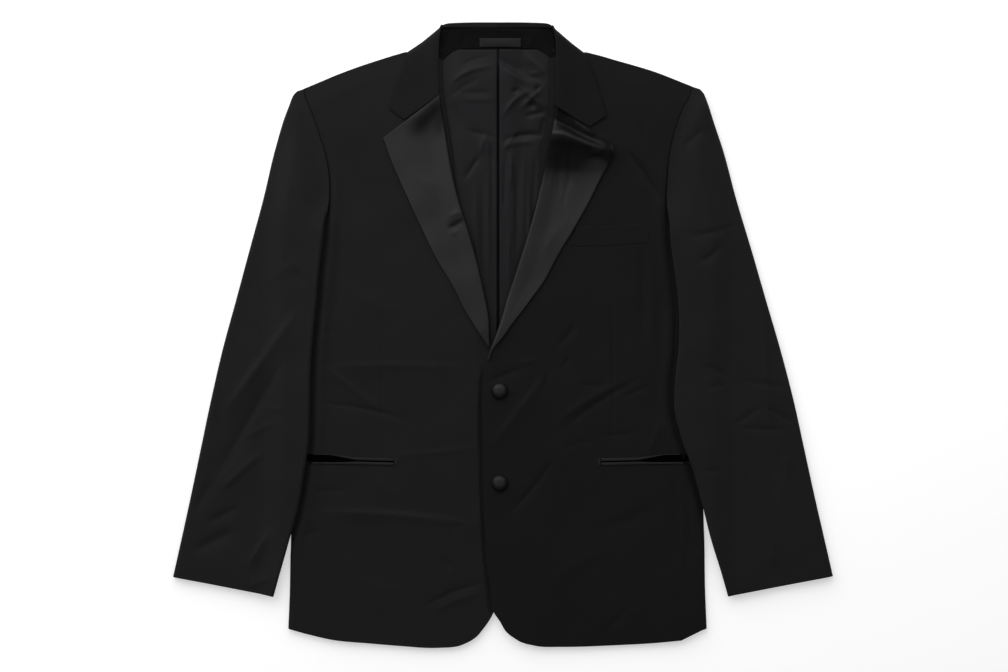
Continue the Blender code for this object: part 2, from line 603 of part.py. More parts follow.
def make_welt(cloth):
    """The breast pocket's welt, on the left front."""
    shares = np.linspace(0, 1, 8)
    rows = []
    for column, slant in (("low", 0), ("high", WELT_SLANT)):
        line = along(np.column_stack([WELT["out"], WELT[column]]), shares)
        line[:, 0] += slant * (1 - shares)
        rows.append(lifted(line, front_top("left", *line.T) + SEAM + WELT_WALL))
    rows.insert(1, (rows[0] + rows[1]) / 2)
    sheet("breast_welt", "left", np.array(rows), WELT_WALL, cloth)


def make_button(name, up, satin):
    """A covered button: a domed profile turned round its own axis."""
    radius, height = BUTTON["radius"], BUTTON["height"]
    turns = np.radians((0, 30, 58, 80))
    profile = [(radius * math.sin(turn), 0, height * (0.35 + 0.65 * math.cos(turn))) for turn in turns]
    profile += [(radius, 0, height * 0.3), (radius * 0.9, 0, 0), (0, 0, 0)]
    points = [tuple(value * MM for value in point) for point in profile]
    mesh = bpy.data.meshes.new(name)
    mesh.from_pydata(points, [(i, i + 1) for i in range(len(points) - 1)], [])
    thing = add(name, mesh, satin)
    base = front_top("left", np.array(BUTTON["out"]), np.array(up)) + SEAM
    thing.location = ((CENTRE + BUTTON["out"]) * MM, up * MM, float(base) * MM)
    turned = thing.modifiers.new("turn", "SCREW")
    turned.steps = turned.render_steps = 16
    turned.use_merge_vertices = True
    turned.merge_threshold = 0.00001


def main():
    for thing in list(bpy.data.objects):
        bpy.data.objects.remove(thing, do_unlink=True)
    jacket = bpy.data.collections.new("dinner_jacket")
    bpy.context.scene.collection.children.link(jacket)

    wool = finish("black_wool", (0.012, 0.012, 0.013), 0.85)
    satin = finish("black_satin", (0.022, 0.023, 0.026), 0.4)
    lining = finish("black_lining", (0.016, 0.017, 0.02), 0.5)

    for side in SIDES:
        make_back(side, wool)
        make_side(side, wool)
        make_front(side, wool)
        make_lapel(side, satin)
        make_collar(side, wool)
        make_lining(side, lining)
        make_sleeve(side, wool)
        make_pocket(side, satin)
    make_stand(wool)
    make_tab(satin)
    make_welt(wool)
    for name, up in BUTTON_UPS.items():
        make_button(f"button_{name}", up, satin)


main()
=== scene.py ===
# %% [markdown]
# # A black dinner jacket, laid flat
# The jacket is a single-breasted dinner jacket with satin lapels. It lies on its back, buttoned, with its
# sleeves straight down. Its solids are loaded first as a fixed frame. Every piece of cloth is then made
# again as a fine sheet in the same place, with the creases and seams that the solids are too coarse for.

# %% The frame
import math

import bpy
import numpy as np
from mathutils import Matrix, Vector


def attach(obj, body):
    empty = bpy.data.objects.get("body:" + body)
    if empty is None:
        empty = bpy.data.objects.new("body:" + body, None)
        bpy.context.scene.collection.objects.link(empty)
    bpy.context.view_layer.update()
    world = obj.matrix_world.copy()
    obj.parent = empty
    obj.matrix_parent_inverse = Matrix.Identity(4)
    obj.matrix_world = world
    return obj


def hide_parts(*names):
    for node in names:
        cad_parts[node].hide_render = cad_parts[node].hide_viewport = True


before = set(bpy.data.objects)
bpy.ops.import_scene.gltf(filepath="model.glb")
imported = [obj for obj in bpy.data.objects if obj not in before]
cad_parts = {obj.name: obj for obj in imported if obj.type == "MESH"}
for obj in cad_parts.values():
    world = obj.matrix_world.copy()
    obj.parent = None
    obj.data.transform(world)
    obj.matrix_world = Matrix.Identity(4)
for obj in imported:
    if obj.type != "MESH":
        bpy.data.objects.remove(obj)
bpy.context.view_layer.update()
bpy.context.scene.view_settings.view_transform = "Standard"

# %% [markdown]
# ## Measures of the cut
# A tailor's pattern is a set of lines, so the jacket is described by lines too. "Out" is the distance in
# millimetres from the centre line towards the side, and "up" runs from the hem to the collar. The wearer's
# right lies at -X and the left at +X. A smooth curve goes through the rows of each table.

# %% Tables and walls
MM = 0.001
CENTRE = -7.0               # the centre line, across from the middle of the whole width
SIDES = {"right": -1, "left": 1}


def table(columns, *rows):
    """Rows of numbers under named columns, as one array for each column. What a row leaves out is 0."""
    names = columns.split()
    whole = np.array([row + (0,) * (len(names) - len(row)) for row in rows], float)
    return dict(zip(names, whole.T.copy()))


def two_sided(columns, right, left):
    """A table for each side of the jacket."""
    return {"right": table(columns, *right), "left": table(columns, *left)}


SEAM = 0.05                 # gap between pieces sewn edge to edge
LAY = 0.7                   # gap between a piece and the one it lies on
BACK_WALL = 1.8
SIDE_WALL = 1.8
FRONT_WALL = 3.0            # outer cloth, canvas and facing together
PAD_WALL = 3.2              # what a shoulder pad adds
LAPEL_WALL = 2.0
COLLAR_WALL = 1.6
STAND_WALL = 1.2
LINING_WALL = 0.8
SLEEVE_WALL = 1.6
JET_WALL = 1.0
WELT_WALL = 1.4
SHARP = 1.7                 # distance between the threads of a mesh where it is crumpled
CLOSE = 2.2                 # where its creases are fine
FINE = 2.5                  # where the cloth shows
COARSE = 4.5                # where it lies underneath
# Lengths of the meshes, in millimetres, from which their numbers of threads are worked out
SPAN = {"armhole": 215, "back": 240, "side": 480, "front": 255, "lapel": 320, "lapel across": 84,
        "lining": 410, "lining across": 92, "sleeve": 640, "sleeve across": 115, "pocket": 126, "welt": 100}
# Numbers of threads in folds and narrow pieces
THREADS = {"collar": 111, "collar across": 31, "band across": 5, "stand": 121, "stand across": 21,
           "tab": 27, "tab across": 9, "side flap": 8, "side fold": 14, "fold": 13, "outer fold": 10,
           "turned under": 3, "under sleeve": 23, "strip across": 9, "welt across": 13, "bar": 11,
           "bar across": 4, "roll": 40}

# %% Outlines of the body
SIDE = table(
    "up out", (-377, 268), (-328, 266), (-270, 265), (-165, 262), (-84, 258), (0, 260), (44, 264),
    (93, 268))
ARMHOLE = table(
    "up out", (93, 268), (100, 262), (112, 247), (132, 231), (160, 222.5), (186, 221), (211, 222.6),
    (237, 228), (263, 236.5), (288, 246), (300, 250), (311, 253))
SHOULDER = two_sided(
    "out up",
    right=(
        (253, 312), (228, 322.4), (201, 333.5), (147, 352.7), (137, 355.8), (125, 359.2),
        (117, 361.2), (110, 360.5), (102, 358.5), (94, 357.5), (86, 357.5)),
    left=(
        (254.5, 315), (232, 324), (207.5, 333.5), (145, 352.7), (136, 355.4), (122, 359),
        (112, 361), (106, 360), (100, 358.5), (93, 357.5), (86, 357.5)))
BACK_NECK = table("out up", (86, 357.5), (66, 362), (30, 365.2), (0, 365.6))
BACK_HEM = table("out up", (233, -373), (150, -366), (70, -356.5), (0, -352.7))
HEM = two_sided(
    "out up",
    right=(
        (246, -382.8), (215, -390), (164, -395.2), (125, -398.4), (76.5, -400.9), (46.9, -397.7),
        (36, -393)),
    left=(
        (234, -391.5), (196, -395.1), (147, -397.7), (80.3, -399.6), (54.6, -399), (37, -395.5)))
FRONT_EDGE = two_sided(
    "out up",
    right=(
        (36, -393), (27.6, -387.4), (18.6, -377.1), (10.9, -366.5), (4.5, -355.3), (-4.5, -339),
        (-11, -318), (-16, -285), (-18.6, -238), (-19, -84), (-16, -55), (-8, -34), (4, -23)),
    left=(
        (37, -395.5), (28.9, -392.6), (22.5, -388.7), (10.9, -379.7), (3.2, -366.9),
        (-4.5, -355.3), (-8.4, -328.3), (-12.2, -296.7), (-16.1, -238.4), (-18.6, -148.4), (-19.3, -84.2),
        (-18.6, -62), (-16, -45.6)))

# %% Outlines of the lapels and collar
LAPEL_ROLL = two_sided(
    "out up",
    right=(
        (9.7, -16.3), (9.6, -6), (9.7, 8), (10.9, 25), (14.6, 44.3), (18, 60), (26.3, 95.7),
        (37.3, 134.3), (49.5, 172.8), (58.5, 211.4), (64.9, 250), (71, 288.5), (73.4, 306)),
    left=(
        (-12.4, -30.5), (-9.6, -20.5), (-4.5, -7.1), (0.6, 8.4), (3.2, 16.1), (7.1, 28.9),
        (10.9, 43), (16.1, 58.5), (28.3, 95.7), (40.5, 134.3), (50.8, 172.8), (59.8, 211.4), (67.5, 250),
        (72, 272), (75, 290.5)))
LAPEL_EDGE = two_sided(
    "out up",
    right=(
        (10.3, -17.3), (16.1, -8.6), (22.5, 0.8), (28.9, 11), (35.3, 21.2), (41.8, 31.8),
        (54, 57), (77, 95.7), (96, 134.3), (113.7, 172.8), (125.3, 198.5), (136.2, 224.2), (141, 238),
        (146, 251)),
    left=(
        (-12.2, -32.8), (-8.6, -23.5), (-3.2, -14.5), (3.2, -7.1), (9.6, 1), (16.1, 10.6),
        (28.9, 27.2), (41.8, 44.5), (61, 71.5), (70, 88.5), (80.3, 107.6), (93.2, 128.3), (103.4, 146),
        (118.9, 174.1), (131.7, 200.4), (144.6, 224.2), (147.3, 231), (147, 241.5)))
LAPEL_TOP = {"right": (75.2, 352.7), "left": (75.2, 352.7)}     # where the roll meets the shoulder
COLLAR_COLUMNS = "edge_out edge_up mid_out mid_up roll_out roll_up turn"
COLLAR_BEHIND = ((73.9, 351, 66, 371, 50, 399.5, 180), (40, 350, 36, 371, 28, 400, 180),
                 (0, 350, 0, 371, 0, 400, 180))
COLLAR = two_sided(
    COLLAR_COLUMNS,
    right=(
        (138.1, 288.5, 118.9, 274.7, 73.9, 306.8, 0), (135.5, 300, 116.5, 297, 74.3, 322, 0),
        (130.5, 316, 110, 322, 75, 340, 0), (124, 330, 104.5, 340.5, 75, 357, 0),
        (117.5, 346, 101, 354, 74.5, 375, 0), (115.8, 355, 98.5, 366.5, 73, 387, 24),
        (114.2, 362.4, 97, 374, 71, 395, 90), (110.5, 360, 94, 373.5, 68, 397.5, 140),
        (99, 354.5, 85, 370, 62, 398.8, 180), *COLLAR_BEHIND),
    left=(
        (139.4, 279.5, 117.6, 265.8, 75.4, 291.5, 0), (135, 293, 115.5, 289, 75, 309, 0),
        (129.5, 309, 110.5, 314, 74.8, 332, 0), (124, 328, 104.5, 338.5, 75, 355, 0),
        (116.3, 346, 100.5, 354, 74.5, 374, 0), (112.8, 355, 97, 366, 72.5, 386, 24),
        (109.7, 361.8, 95, 373, 70, 394, 90), (106.5, 360, 92, 373, 67.5, 397, 140),
        (96, 354.5, 84, 370, 62, 398.8, 180), *COLLAR_BEHIND))
STAND = table(
    "seam_out seam_up seam_top crest_out crest_up crest_top", (18, 365.4, 6.2, 20, 393.8, 5.5),
    (42, 366, 6.3, 48, 393.2, 5.5), (56, 363, 6.6, 63, 390.5, 5.2), (66, 356, 7.4, 72, 385, 4.8),
    (74, 350, 8.0, 75.5, 376, 4.4))     # one half of it, from the middle
LINING_OUTER = table("up out", (-45, 44), (20, 48), (95, 58), (190, 80), (290, 96), (345, 98), (365, 88))
LINING_TOP_UP = 364.9
LINING_FOOT_UP = -45.0

# %% Outlines of the sleeves
SLEEVE_INNER = two_sided(
    "out up",
    right=(
        (252.4, 312), (249.5, 301), (243.5, 288), (234.5, 262.8), (226.2, 237.1), (220.4, 211.4),
        (218.6, 185.7), (219.1, 166.4), (221.7, 134.3), (228.1, 76.5), (230.7, 44.3), (235.8, -7.1),
        (239, -58.5), (239.7, -97), (240.9, -135.6), (246.1, -174.1), (252.5, -212.7), (266, -264.1),
        (276.9, -302.6), (286, -334.7)),
    left=(
        (254, 315), (248.3, 301), (241, 288), (232, 262.8), (225.5, 237.1), (222.3, 211.4),
        (220.6, 185.7), (219.6, 166.4), (219.9, 134.3), (226.8, 76.5), (230.7, 44.3), (231.5, -15),
        (226.8, -60), (226.6, -97), (235.8, -135.6), (249.9, -174.1), (260.2, -212.7), (273.1, -264.1),
        (285.3, -302.6), (294.7, -334.7)))
SLEEVE_OUTER = two_sided(
    "out up",
    right=(
        (256.8, 310.6), (260.5, 307), (263.2, 302), (265.6, 295), (273.1, 275.6), (284.6, 237.1),
        (300, 172.8), (317.4, 108.6), (334.7, 44.3), (352.1, -19.9), (366.9, -84.2), (380.4, -148.4),
        (393.9, -212.7), (408, -276.9), (415.4, -310)),
    left=(
        (260, 313), (263.5, 309), (266.2, 303), (269.2, 295), (275.6, 275.6), (288.5, 237.1),
        (305.8, 172.8), (325.1, 108.6), (343.7, 44.3), (362.4, -19.9), (379.1, -84.2), (393.2, -148.4),
        (407.3, -212.7), (422.1, -276.9), (429.4, -309)))
SLEEVE_REST = table(
    "up out", (-400, 268), (-165, 262), (0, 260), (93, 262), (150, 257), (215, 248), (265, 241),
    (315, 252))     # where a sleeve starts to come down to the surface

# %% [markdown]
# ## Heights of the layers
# The jacket is a stack: back, lining, right front, left front, lapels and collar, with the sleeves beside
# and over them. Each layer's height is worked out from the one below it, so a crease in a front also lifts
# the lapel that lies on it. The fronts sink into dark hollows beside the sleeves, and the right one also
# sinks along the edge that laps over it, but never into the back.

# %% Heights
LOFT = table(
    "up top", (-400, 8.8), (-300, 9.2), (-160, 9.6), (-40, 9.8), (90, 9.9), (200, 9.8), (310, 9.8),
    (400, 9.0))
PAD = {"out": 205.0, "up": 296.0, "across": 62.0, "along": 72.0}
FALL_RAISE = 2.0            # how far the collar's fall lifts the back's neck
FALL_UP = (250.0, 338.0)
FALL_OUT = (116.0, 160.0)
SHOULDER_DROP = 2.2         # the fronts thin down to the shoulder seam by this much
SHOULDER_ROUND = 28.0
SHOULDER_OUT = (100.0, 150.0)
LAP_DOWN = 0.6              # the right front sinks under the left one
LAP_UP = FRONT_WALL + LAY - LAP_DOWN
LAP_OUT = (22.0, 90.0)
LAP_TOP = (-5.0, 75.0)
ROLL_RISE = 2.2             # a turned edge stands this much prouder than its middle
HOLLOW = table(
    "up depth reach bulge", (-400, 5.2, 4.2, 1.0), (-300, 5.2, 4.2, 1.6), (170, 5.2, 4.2, 2.2),
    (225, 2.6, 3.5, 0.6), (320, 1.6, 2.6, 0))
HOLLOW_OFF = 1.0            # the body is lowest this far in from a sleeve's inner fold
BULGE = {"off": 12.0, "reach": 7.0}     # and past the hollow it bulges
LAP_LINE = {name: column[np.argsort(FRONT_EDGE["left"]["up"])]
            for name, column in FRONT_EDGE["left"].items()}
LAP_GROOVE = table("up depth", (-380, 2.0), (-320, 4.4), (-80, 4.4), (-50, 2.0), (-38, 0), (0, 0))
LAP_GROOVE_OFF = 0.8        # the right front is lowest this far past the edge that laps over it
LAP_GROOVE_REACH = 3.6
WELT = table("out low high", (91, 113, 137.5), (110, 112.6, 138.2), (150, 114, 140), (194, 117, 141.5))
WELT_SINK = 1.1             # the front is pressed in this much under the welt
WELT_MARGIN = 2.5
FRONT_DEPTH = 2.1           # what the rises of a front's creases are multiplied by
SLEEVE_DEPTH = 2.0
WAVES = {"right": (5, 90, 0.6), "left": (3, 90, 0.6), "sleeve": (11, 80, 0.6)}    # seed, size and amount


def ease(low, high, value):
    """Smooth step: 0 up to low, 1 from high on."""
    t = np.clip((value - low) / (high - low), 0, 1)
    return t * t * (3 - 2 * t)


def smooth(marks, values, places):
    """Values at some places, on a smooth line through the values known at the marks."""
    slopes = np.gradient(values, marks, axis=0)
    places = np.clip(np.asarray(places, float), marks[0], marks[-1])
    first = np.clip(np.searchsorted(marks, places) - 1, 0, len(marks) - 2)
    span = marks[first + 1] - marks[first]
    t = (places - marks[first]) / span
    if values.ndim > 1:
        span, t = span[..., None], t[..., None]
    start = (1 + 2 * t) * (1 - t) ** 2 * values[first] + t * (1 - t) ** 2 * span * slopes[first]
    end = t * t * (3 - 2 * t) * values[first + 1] + t * t * (t - 1) * span * slopes[first + 1]
    return start + end


def lengths(points):
    """Share of a line's whole length at each of its points."""
    gaps = np.linalg.norm(np.diff(points, axis=0), axis=1)
    return np.concatenate([[0], np.cumsum(gaps)]) / gaps.sum()


def along(points, shares):
    """Points at shares, 0 to 1, of the length of a smooth line through the given ones."""
    return smooth(lengths(points), points, shares)


def pairs(source):
    """A table's out and up columns as points."""
    return np.column_stack([source["out"], source["up"]])


def guides(source, names, parts, count):
    """Smooth lines, of so many points, through the columns of a table that belong to each name."""
    known = np.arange(len(source[f"{names[0]}_{parts[0]}"]))
    lines = [np.column_stack([source[f"{name}_{part}"] for part in parts]) for name in names]
    return [smooth(known, line, np.linspace(0, known[-1], count)) for line in lines]


def level(source, name, up):
    """A table's value at a level, smoothly between its rows."""
    return smooth(source["up"], source[name], up)


def body_out(up):
    """The body's edge at a level: the side fold, and above the underarm the armhole."""
    return np.where(up < ARMHOLE["up"][0], level(SIDE, "out", up), level(ARMHOLE, "out", up))


# %% [markdown]
# ## Creases
# A crease is a soft ridge, or a trough where its rise is negative. It runs from one end to the other on a
# bowed line and fades at both ends. Its crest is rounded, and one side may be steeper than the other, as
# where cloth is pushed up against a fold. Wide, low creases give the cloth its life, and a few narrow ones
# give it its sharp lines. The cloth underneath can only rise off the surface, so it has ridges alone. A row
# that stops early has a straight crease, alike on both sides.

# %% Creases
COLUMNS = "out1 up1 out2 up2 rise width bow lean"
CREST = 0.3                 # how much of a crease's width its rounded crest takes up
CREST_FALL = 1.8            # how fast it falls off beside the crest
CREASE_END = (-0.08, 0.35)  # the shares of its length over which it fades in, from either end
WAVE = {"count": 9, "phase": 7, "stretch": (0.6, 1.7)}
WAVE_SUM = 4.0              # what that many waves seldom add up to more than
WHOLE_TURN = 6.28           # in radians, near enough


def creases(source, out, up):
    """Height added by a table's creases."""
    total = np.zeros(np.broadcast(out, up).shape)
    for o1, u1, o2, u2, rise, width, bow, lean in zip(*source.values()):
        length = math.hypot(o2 - o1, u2 - u1)
        share = ((out - o1) * (o2 - o1) + (up - u1) * (u2 - u1)) / length ** 2
        apart = ((out - o1) * (u2 - u1) - (up - u1) * (o2 - o1)) / length - 4 * bow * share * (1 - share)
        ends = ease(*CREASE_END, share) * ease(*CREASE_END, 1 - share)
        off = apart / (width * (1 + lean * np.tanh(apart / width)))
        total = total + rise * ends * np.exp(CREST_FALL * (CREST - np.sqrt(off ** 2 + CREST ** 2)))
    return total


def unevenness(out, up, seed, size, amount):
    """Gentle waves without a pattern, of about a size, up to about an amount."""
    chance = np.random.default_rng(seed)
    total = np.zeros(np.broadcast(out, up).shape)
    for _ in range(WAVE["count"]):
        turn, phase = chance.uniform(0, math.pi), chance.uniform(0, WAVE["phase"])
        stretch = chance.uniform(*WAVE["stretch"])
        distance = out * math.cos(turn) + up * math.sin(turn)
        total = total + np.sin(distance * WHOLE_TURN / (size * stretch) + phase)
    return total * amount / WAVE_SUM


FRONT_CREASES = two_sided(
    COLUMNS,
    right=(
        (148, -136, 145, 64, -0.5, 2.6),  # waist dart
        (151, -97, 228, -35, 1.0, 5, 0, 0.5),  # from the sleeve down to the waist
        (35, -44, 225, -43, 0.9, 8, -4, 0.7),  # across the waist
        (112, -111, 233, -88, -1.0, 3.4, -5), (15, -141, 145, -154, 0.6, 4, 3, 0.5),
        (190, -200, 238, -200, -0.5, 4),
        (22, -245, 232, -227, 1.5, 8, -5, 0.85),  # the long fold under the pocket
        (40, -243, 62, -247, -0.6, 7), (226, -252, 255, -258, -0.8, 7), (56, -302, 74, -285, -0.7, 7),
        (16, -318, 93, -348, -1.1, 4, -4),  # slanting in the skirt
        (22, -330, 84, -356, 0.7, 6, -3), (200, 2, 238, 3, -0.5, 3.5), (120, 30, 215, 70, 0.6, 15, 6),
        (17, 2, 19, -78, -1.0, 10),  # the hollow at the lapel's foot
        (205, 30, 210, 190, -0.8, 13, -6), (120, 60, 175, 175, 0.7, 22, 10),
        (110, -215, 170, -180, 0.6, 14), (120, -330, 200, -290, 0.8, 18, 8)),
    left=(
        (147, -155, 147, 57, -0.6, 2.6),  # waist dart, with its two edges
        (152, -155, 152, 57, 0.4, 2.6),
        (-12, -62, 36, -43, -1.1, 5, -2),  # under the lapel's foot
        (28, -35, 48, -35, 0.6, 4),
        (-7, -142, 65, -48, 1.3, 7, 0, 0.7),  # past the upper button
        (57, -78, 66, -44, -0.7, 3.4), (80, -48, 94, -25, -0.6, 4),
        (83, -123, 183, -56, -1.1, 4, -5),  # the long slant over the waist
        (72, -116, 165, -60, 0.9, 6, -5), (157, -82, 196, -65, -0.7, 3.4),
        (132, -128, 183, -123, -0.6, 3.4, 3), (98, -139, 121, -137, -0.5, 3.2),
        (80, -148, 101, -140, -0.5, 3.2),
        (7, -235, 75, -154, -1.1, 4.4, 4),  # curved, by the lower button
        (192, -156, 210, -106, 0.9, 5, 0, 0.8),
        (224, -170, 222, 150, -1.8, 20),  # the soft fall beside the sleeve
        (187, -5, 185, 118, -1.2, 8), (198, -30, 196, 165, 0.5, 7), (208, -20, 207, 50, -0.5, 5),
        (165, 235, 212, 160, -2.2, 5.5, -4),  # from the armhole to the chest
        (176, 208, 216, 150, 0.9, 9, -3, 0.5), (151, 321, 168, 231, -0.5, 5),
        (186, 280, 187, 240, -0.6, 6), (74, -17, 102, 20, -1.0, 4.4, 3),
        (100, -65, 141, -65, -0.6, 2.8),  # print of the inner pocket
        (102, -62, 102, -28, -0.35, 2.6), (137, -62, 137, -30, -0.35, 2.6),
        (247, -310, 243, -170, -1.0, 6), (228, -280, 226, -175, -0.7, 7), (130, -388, 172, -346, -0.7, 6),
        (60, -330, 150, -270, 0.9, 18, -8), (120, -250, 205, -215, -0.9, 14, 6)))
LAPEL_CREASES = two_sided(
    COLUMNS,
    right=(
        (60, 318, 118, 264, 3.0, 16),  # along the gorge
        (43, 147, 64, 136, -1.2, 3.6, 2),  # small dent at the roll
        (44, 156, 62, 149, 0.8, 4.4, -2), (48, 132, 62, 128, 0.5, 3.4), (40, 60, 78, 95, 0.4, 10),
        (70, 190, 118, 215, 0.5, 16, 6)),
    left=(
        (34, 264, 180, 222, 10.0, 15, -5, 0.5),  # the bunched fold under the gorge
        (64, 281, 152, 235, -7.0, 8.0, 3, -0.4),  # its deep upper furrow
        (72, 294, 94, 274, -4.0, 6),
        (76, 262, 100, 256, 2.8, 7, -2, 0.3),  # knots on the fold's crest
        (108, 264, 124, 253, 2.6, 5), (106, 243, 134, 238, 1.2, 5), (118, 233, 134, 230, 1.8, 3.6),
        (92, 184, 92, 244, -1.5, 3.6), (84, 164, 90, 200, -0.6, 3.4),
        (80, 172, 76, 240, -0.7, 3.6, 0, 0.5), (66, 172, 74, 240, 0.5, 6), (52, 100, 92, 150, 0.5, 12),
        (20, 20, 46, 70, 0.5, 8)))
CRUSH_AND_PAINTED_SHADE = two_sided(                 # where the satin is crumpled or in shade it is rougher, and a dark matte finish is mixed in: painted shade
    COLUMNS,
    right=(
        (66, 302, 112, 252, 0.8, 13), (38, 152, 66, 136, 0.7, 6), (60, 306, 80, 250, 0.4, 8)),
    left=(
        (30, 241, 124, 229, 1.9, 18, -2, 0.45), (80, 238, 168, 226, 1.2, 9),
        (60, 287, 150, 243, 1.3, 6, 3, -0.4), (66, 296, 100, 270, 1.3, 7), (140, 262, 142, 210, 0.8, 7),
        (30, 214, 170, 212, 0.4, 12)))
SLEEVE_CREASES = two_sided(
    COLUMNS,
    right=(
        (348, -99, 253, 32, 2.8, 10, 0, -0.7),  # the long slanting fold over the elbow
        (365, -190, 272, -30, -2.6, 9, 0, 0.5), (391, -228, 362, -184, -1.4, 9),
        (299, -148, 357, -201, 1.6, 6), (318, -128, 352, -178, -1.2, 6), (330, -219, 371, -242, -1.3, 6),
        (335, -250, 391, -278, -1.9, 10),  # broad, over the cuff
        (318, -296, 289, -246, 2.4, 6, 0, -0.8),  # sharp, at the wrist
        (286, -309, 320, -322, 0.8, 5), (244, 62, 257, 84, -0.9, 5), (303, 62, 252, 95, 0.7, 8),
        (278, -111, 322, -133, 0.7, 4, -3), (266, -94, 304, -94, 0.5, 3.4),
        (345, -150, 366, -60, -1.0, 12), (262, 130, 275, 210, 0.6, 14)),
    left=(
        (235, 236, 264, 264, -1.5, 7), (238, 125, 306, 141, -1.1, 3.6, 3),
        (255, 91, 287, 116, -1.6, 5, 3),
        (347, -150, 333, 84, 1.6, 5, 2, 0.4),  # the long pressed fold
        (260, -39, 293, -55, -1.0, 3.6, -2), (266, -67, 293, -64, -0.8, 3.6),
        (311, -58, 377, -69, -0.9, 3.6), (298, -119, 341, -90, -1.1, 4), (339, -90, 381, -115, -1.1, 4),
        (304, -119, 370, -123, -0.9, 3.4),
        (276, -183, 246, -62, 1.8, 5.5, 0, 0.4),  # beside the inner fold
        (259, -174, 287, -174, -0.8, 3.4), (361, -214, 377, -134, 1.0, 7, 0, 0.3),
        (322, -240, 318, -120, -1.3, 15), (352, -230, 350, -150, -0.8, 9),
        (350, -300, 356, -250, 0.8, 9)))
LINING_CREASES = two_sided(
    COLUMNS,
    right=(
        (3, 344, 54, 326, 0.7, 3, -4), (20, 345, 62, 318, 0.6, 3, -4), (18, 330, 66, 300, -0.5, 4, -3),
        (34, 60, 44, 150, 0.7, 4), (6, 150, 8, 250, -0.7, 3.2), (8, 356, 50, 342, -0.4, 3, -3),
        (8, 310, 52, 309, -0.5, 3.2), (4, 301, 46, 300, 0.4, 3), (10, 230, 16, 258, 0.9, 3),
        (22, 230, 16, 258, 0.8, 3), (3, 252, 40, 262, -0.7, 4), (22, 230, 43, 198, -1.1, 4),
        (25, 40, 28, 205, 0.8, 4.5), (12, 60, 12, 215, 0.8, 4), (18, 40, 19, 200, -0.7, 3.6),
        (44, 255, 58, 300, -0.8, 6)),
    left=(
        (-6, 358, 60, 324, -2.2, 9, 3, -0.8),  # the dark fold under the seam
        (34, 360, 62, 332, 1.0, 5), (8, 340, 40, 318, 0.6, 4), (20, 330, 60, 336, 0.7, 3),
        (40, 200, 42, 90, 0.8, 4), (8, 236, 26, 262, 0.8, 3), (8, 150, 10, 232, -0.8, 3.4),
        (28, 318, 62, 288, 1.3, 3.6), (28, 288, 60, 318, 1.2, 3.6), (48, 312, 55, 318, -1.6, 4),
        (18, 310, 28, 314, -1.3, 4), (40, 296, 48, 290, -1.4, 4), (6, 277, 43, 313, 1.1, 3.4, -5),
        (34, 279, 62, 286, -1.2, 3.4), (6, 247, 62, 254, -1.5, 4, -5), (8, 239, 50, 245, 0.8, 4, -4),
        (57, 254, 60, 277, -1.5, 3.4), (17, 184, 18, 238, 0.9, 3.4), (32, 108, 34, 236, 0.9, 5),
        (24, 100, 25, 220, -0.8, 4), (45, 160, 50, 236, -0.8, 5), (14, 60, 15, 135, 0.7, 4)))
BACK_CREASES = two_sided(
    COLUMNS,
    right=(
        (20, -30, 210, -70, 1.3, 9, 6, 0.5),  # across the waist
        (60, -118, 228, -96, 0.9, 7, -4), (15, 70, 150, 40, 0.8, 12, 5),
        (130, 250, 206, 130, 1.2, 10, -8, 0.4),  # from the armhole down to the blade
        (90, 180, 60, -10, 0.8, 16, 6), (40, -230, 205, -262, 1.2, 10, -6, -0.6),
        (70, -300, 180, -330, 0.8, 8, 4), (205, -330, 200, -150, 0.7, 10)),
    left=(
        (12, -52, 190, -28, 1.2, 8, -6, 0.5), (80, -140, 214, -84, 1.1, 8, 5),
        (30, 92, 120, 30, 0.8, 13, 6), (120, 262, 204, 150, 1.3, 9, 8, -0.4),
        (100, 150, 76, 10, 0.7, 15, -5), (20, -190, 130, -238, 0.9, 9, 4),
        (90, -268, 214, -240, 1.1, 9, -5, 0.5), (40, -340, 120, -318, 0.7, 8)))
UNDER_CREASES = two_sided(
    COLUMNS,
    right=(
        (338, -70, 262, 24, 1.6, 9, 0, -0.5),  # behind the elbow
        (352, -150, 282, -62, 1.3, 9, 4, 0.4), (372, -214, 312, -190, 1.0, 7),
        (376, -280, 320, -240, 1.1, 8, -3), (290, 120, 250, 150, 0.8, 9)),
    left=(
        (350, -40, 262, -84, 1.4, 8, 3, 0.4), (362, -118, 270, -104, 1.1, 8, -3),
        (300, -230, 330, -110, 1.0, 9), (392, -262, 330, -226, 1.1, 8, 3), (304, 96, 252, 128, 0.9, 9)))


def trench(apart, reach):
    """Share of the depth of a steep-sided trench with a flat floor."""
    return np.exp(-(apart / reach) ** 4)


def pad(out, up):
    """Share of the shoulder pad's full thickness at a place."""
    return np.exp(-((out - PAD["out"]) / PAD["across"]) ** 2 - ((up - PAD["up"]) / PAD["along"]) ** 2)


def back_top(side, out, up):
    """Upper face of the back: flat but for its creases, and lifted at the neck by the collar's fall."""
    height = BACK_WALL + FALL_RAISE * ease(*FALL_UP, up) * (1 - ease(*FALL_OUT, out))
    return height + np.maximum(creases(BACK_CREASES[side], out, up), 0)


def hollow(side, out, up):
    """How far a front sinks beside its sleeve's inner fold."""
    source = SLEEVE_INNER[side]
    fold = smooth(source["up"][::-1], source["out"][::-1], up)
    depth, reach, bulge = [level(HOLLOW, name, up) for name in ("depth", "reach", "bulge")]
    past = (fold - out - BULGE["off"]) / BULGE["reach"]
    return depth * trench(fold - out - HOLLOW_OFF, reach) - bulge * np.exp(-past ** 2)


def front_top(side, out, up, pressed=0):
    """Upper face of a front and its side panel, with the hollow beside the sleeve."""
    least = back_top(side, out, up) + FRONT_WALL + SEAM
    return np.maximum(body_top(side, out, up) - hollow(side, out, up) + pressed, least)


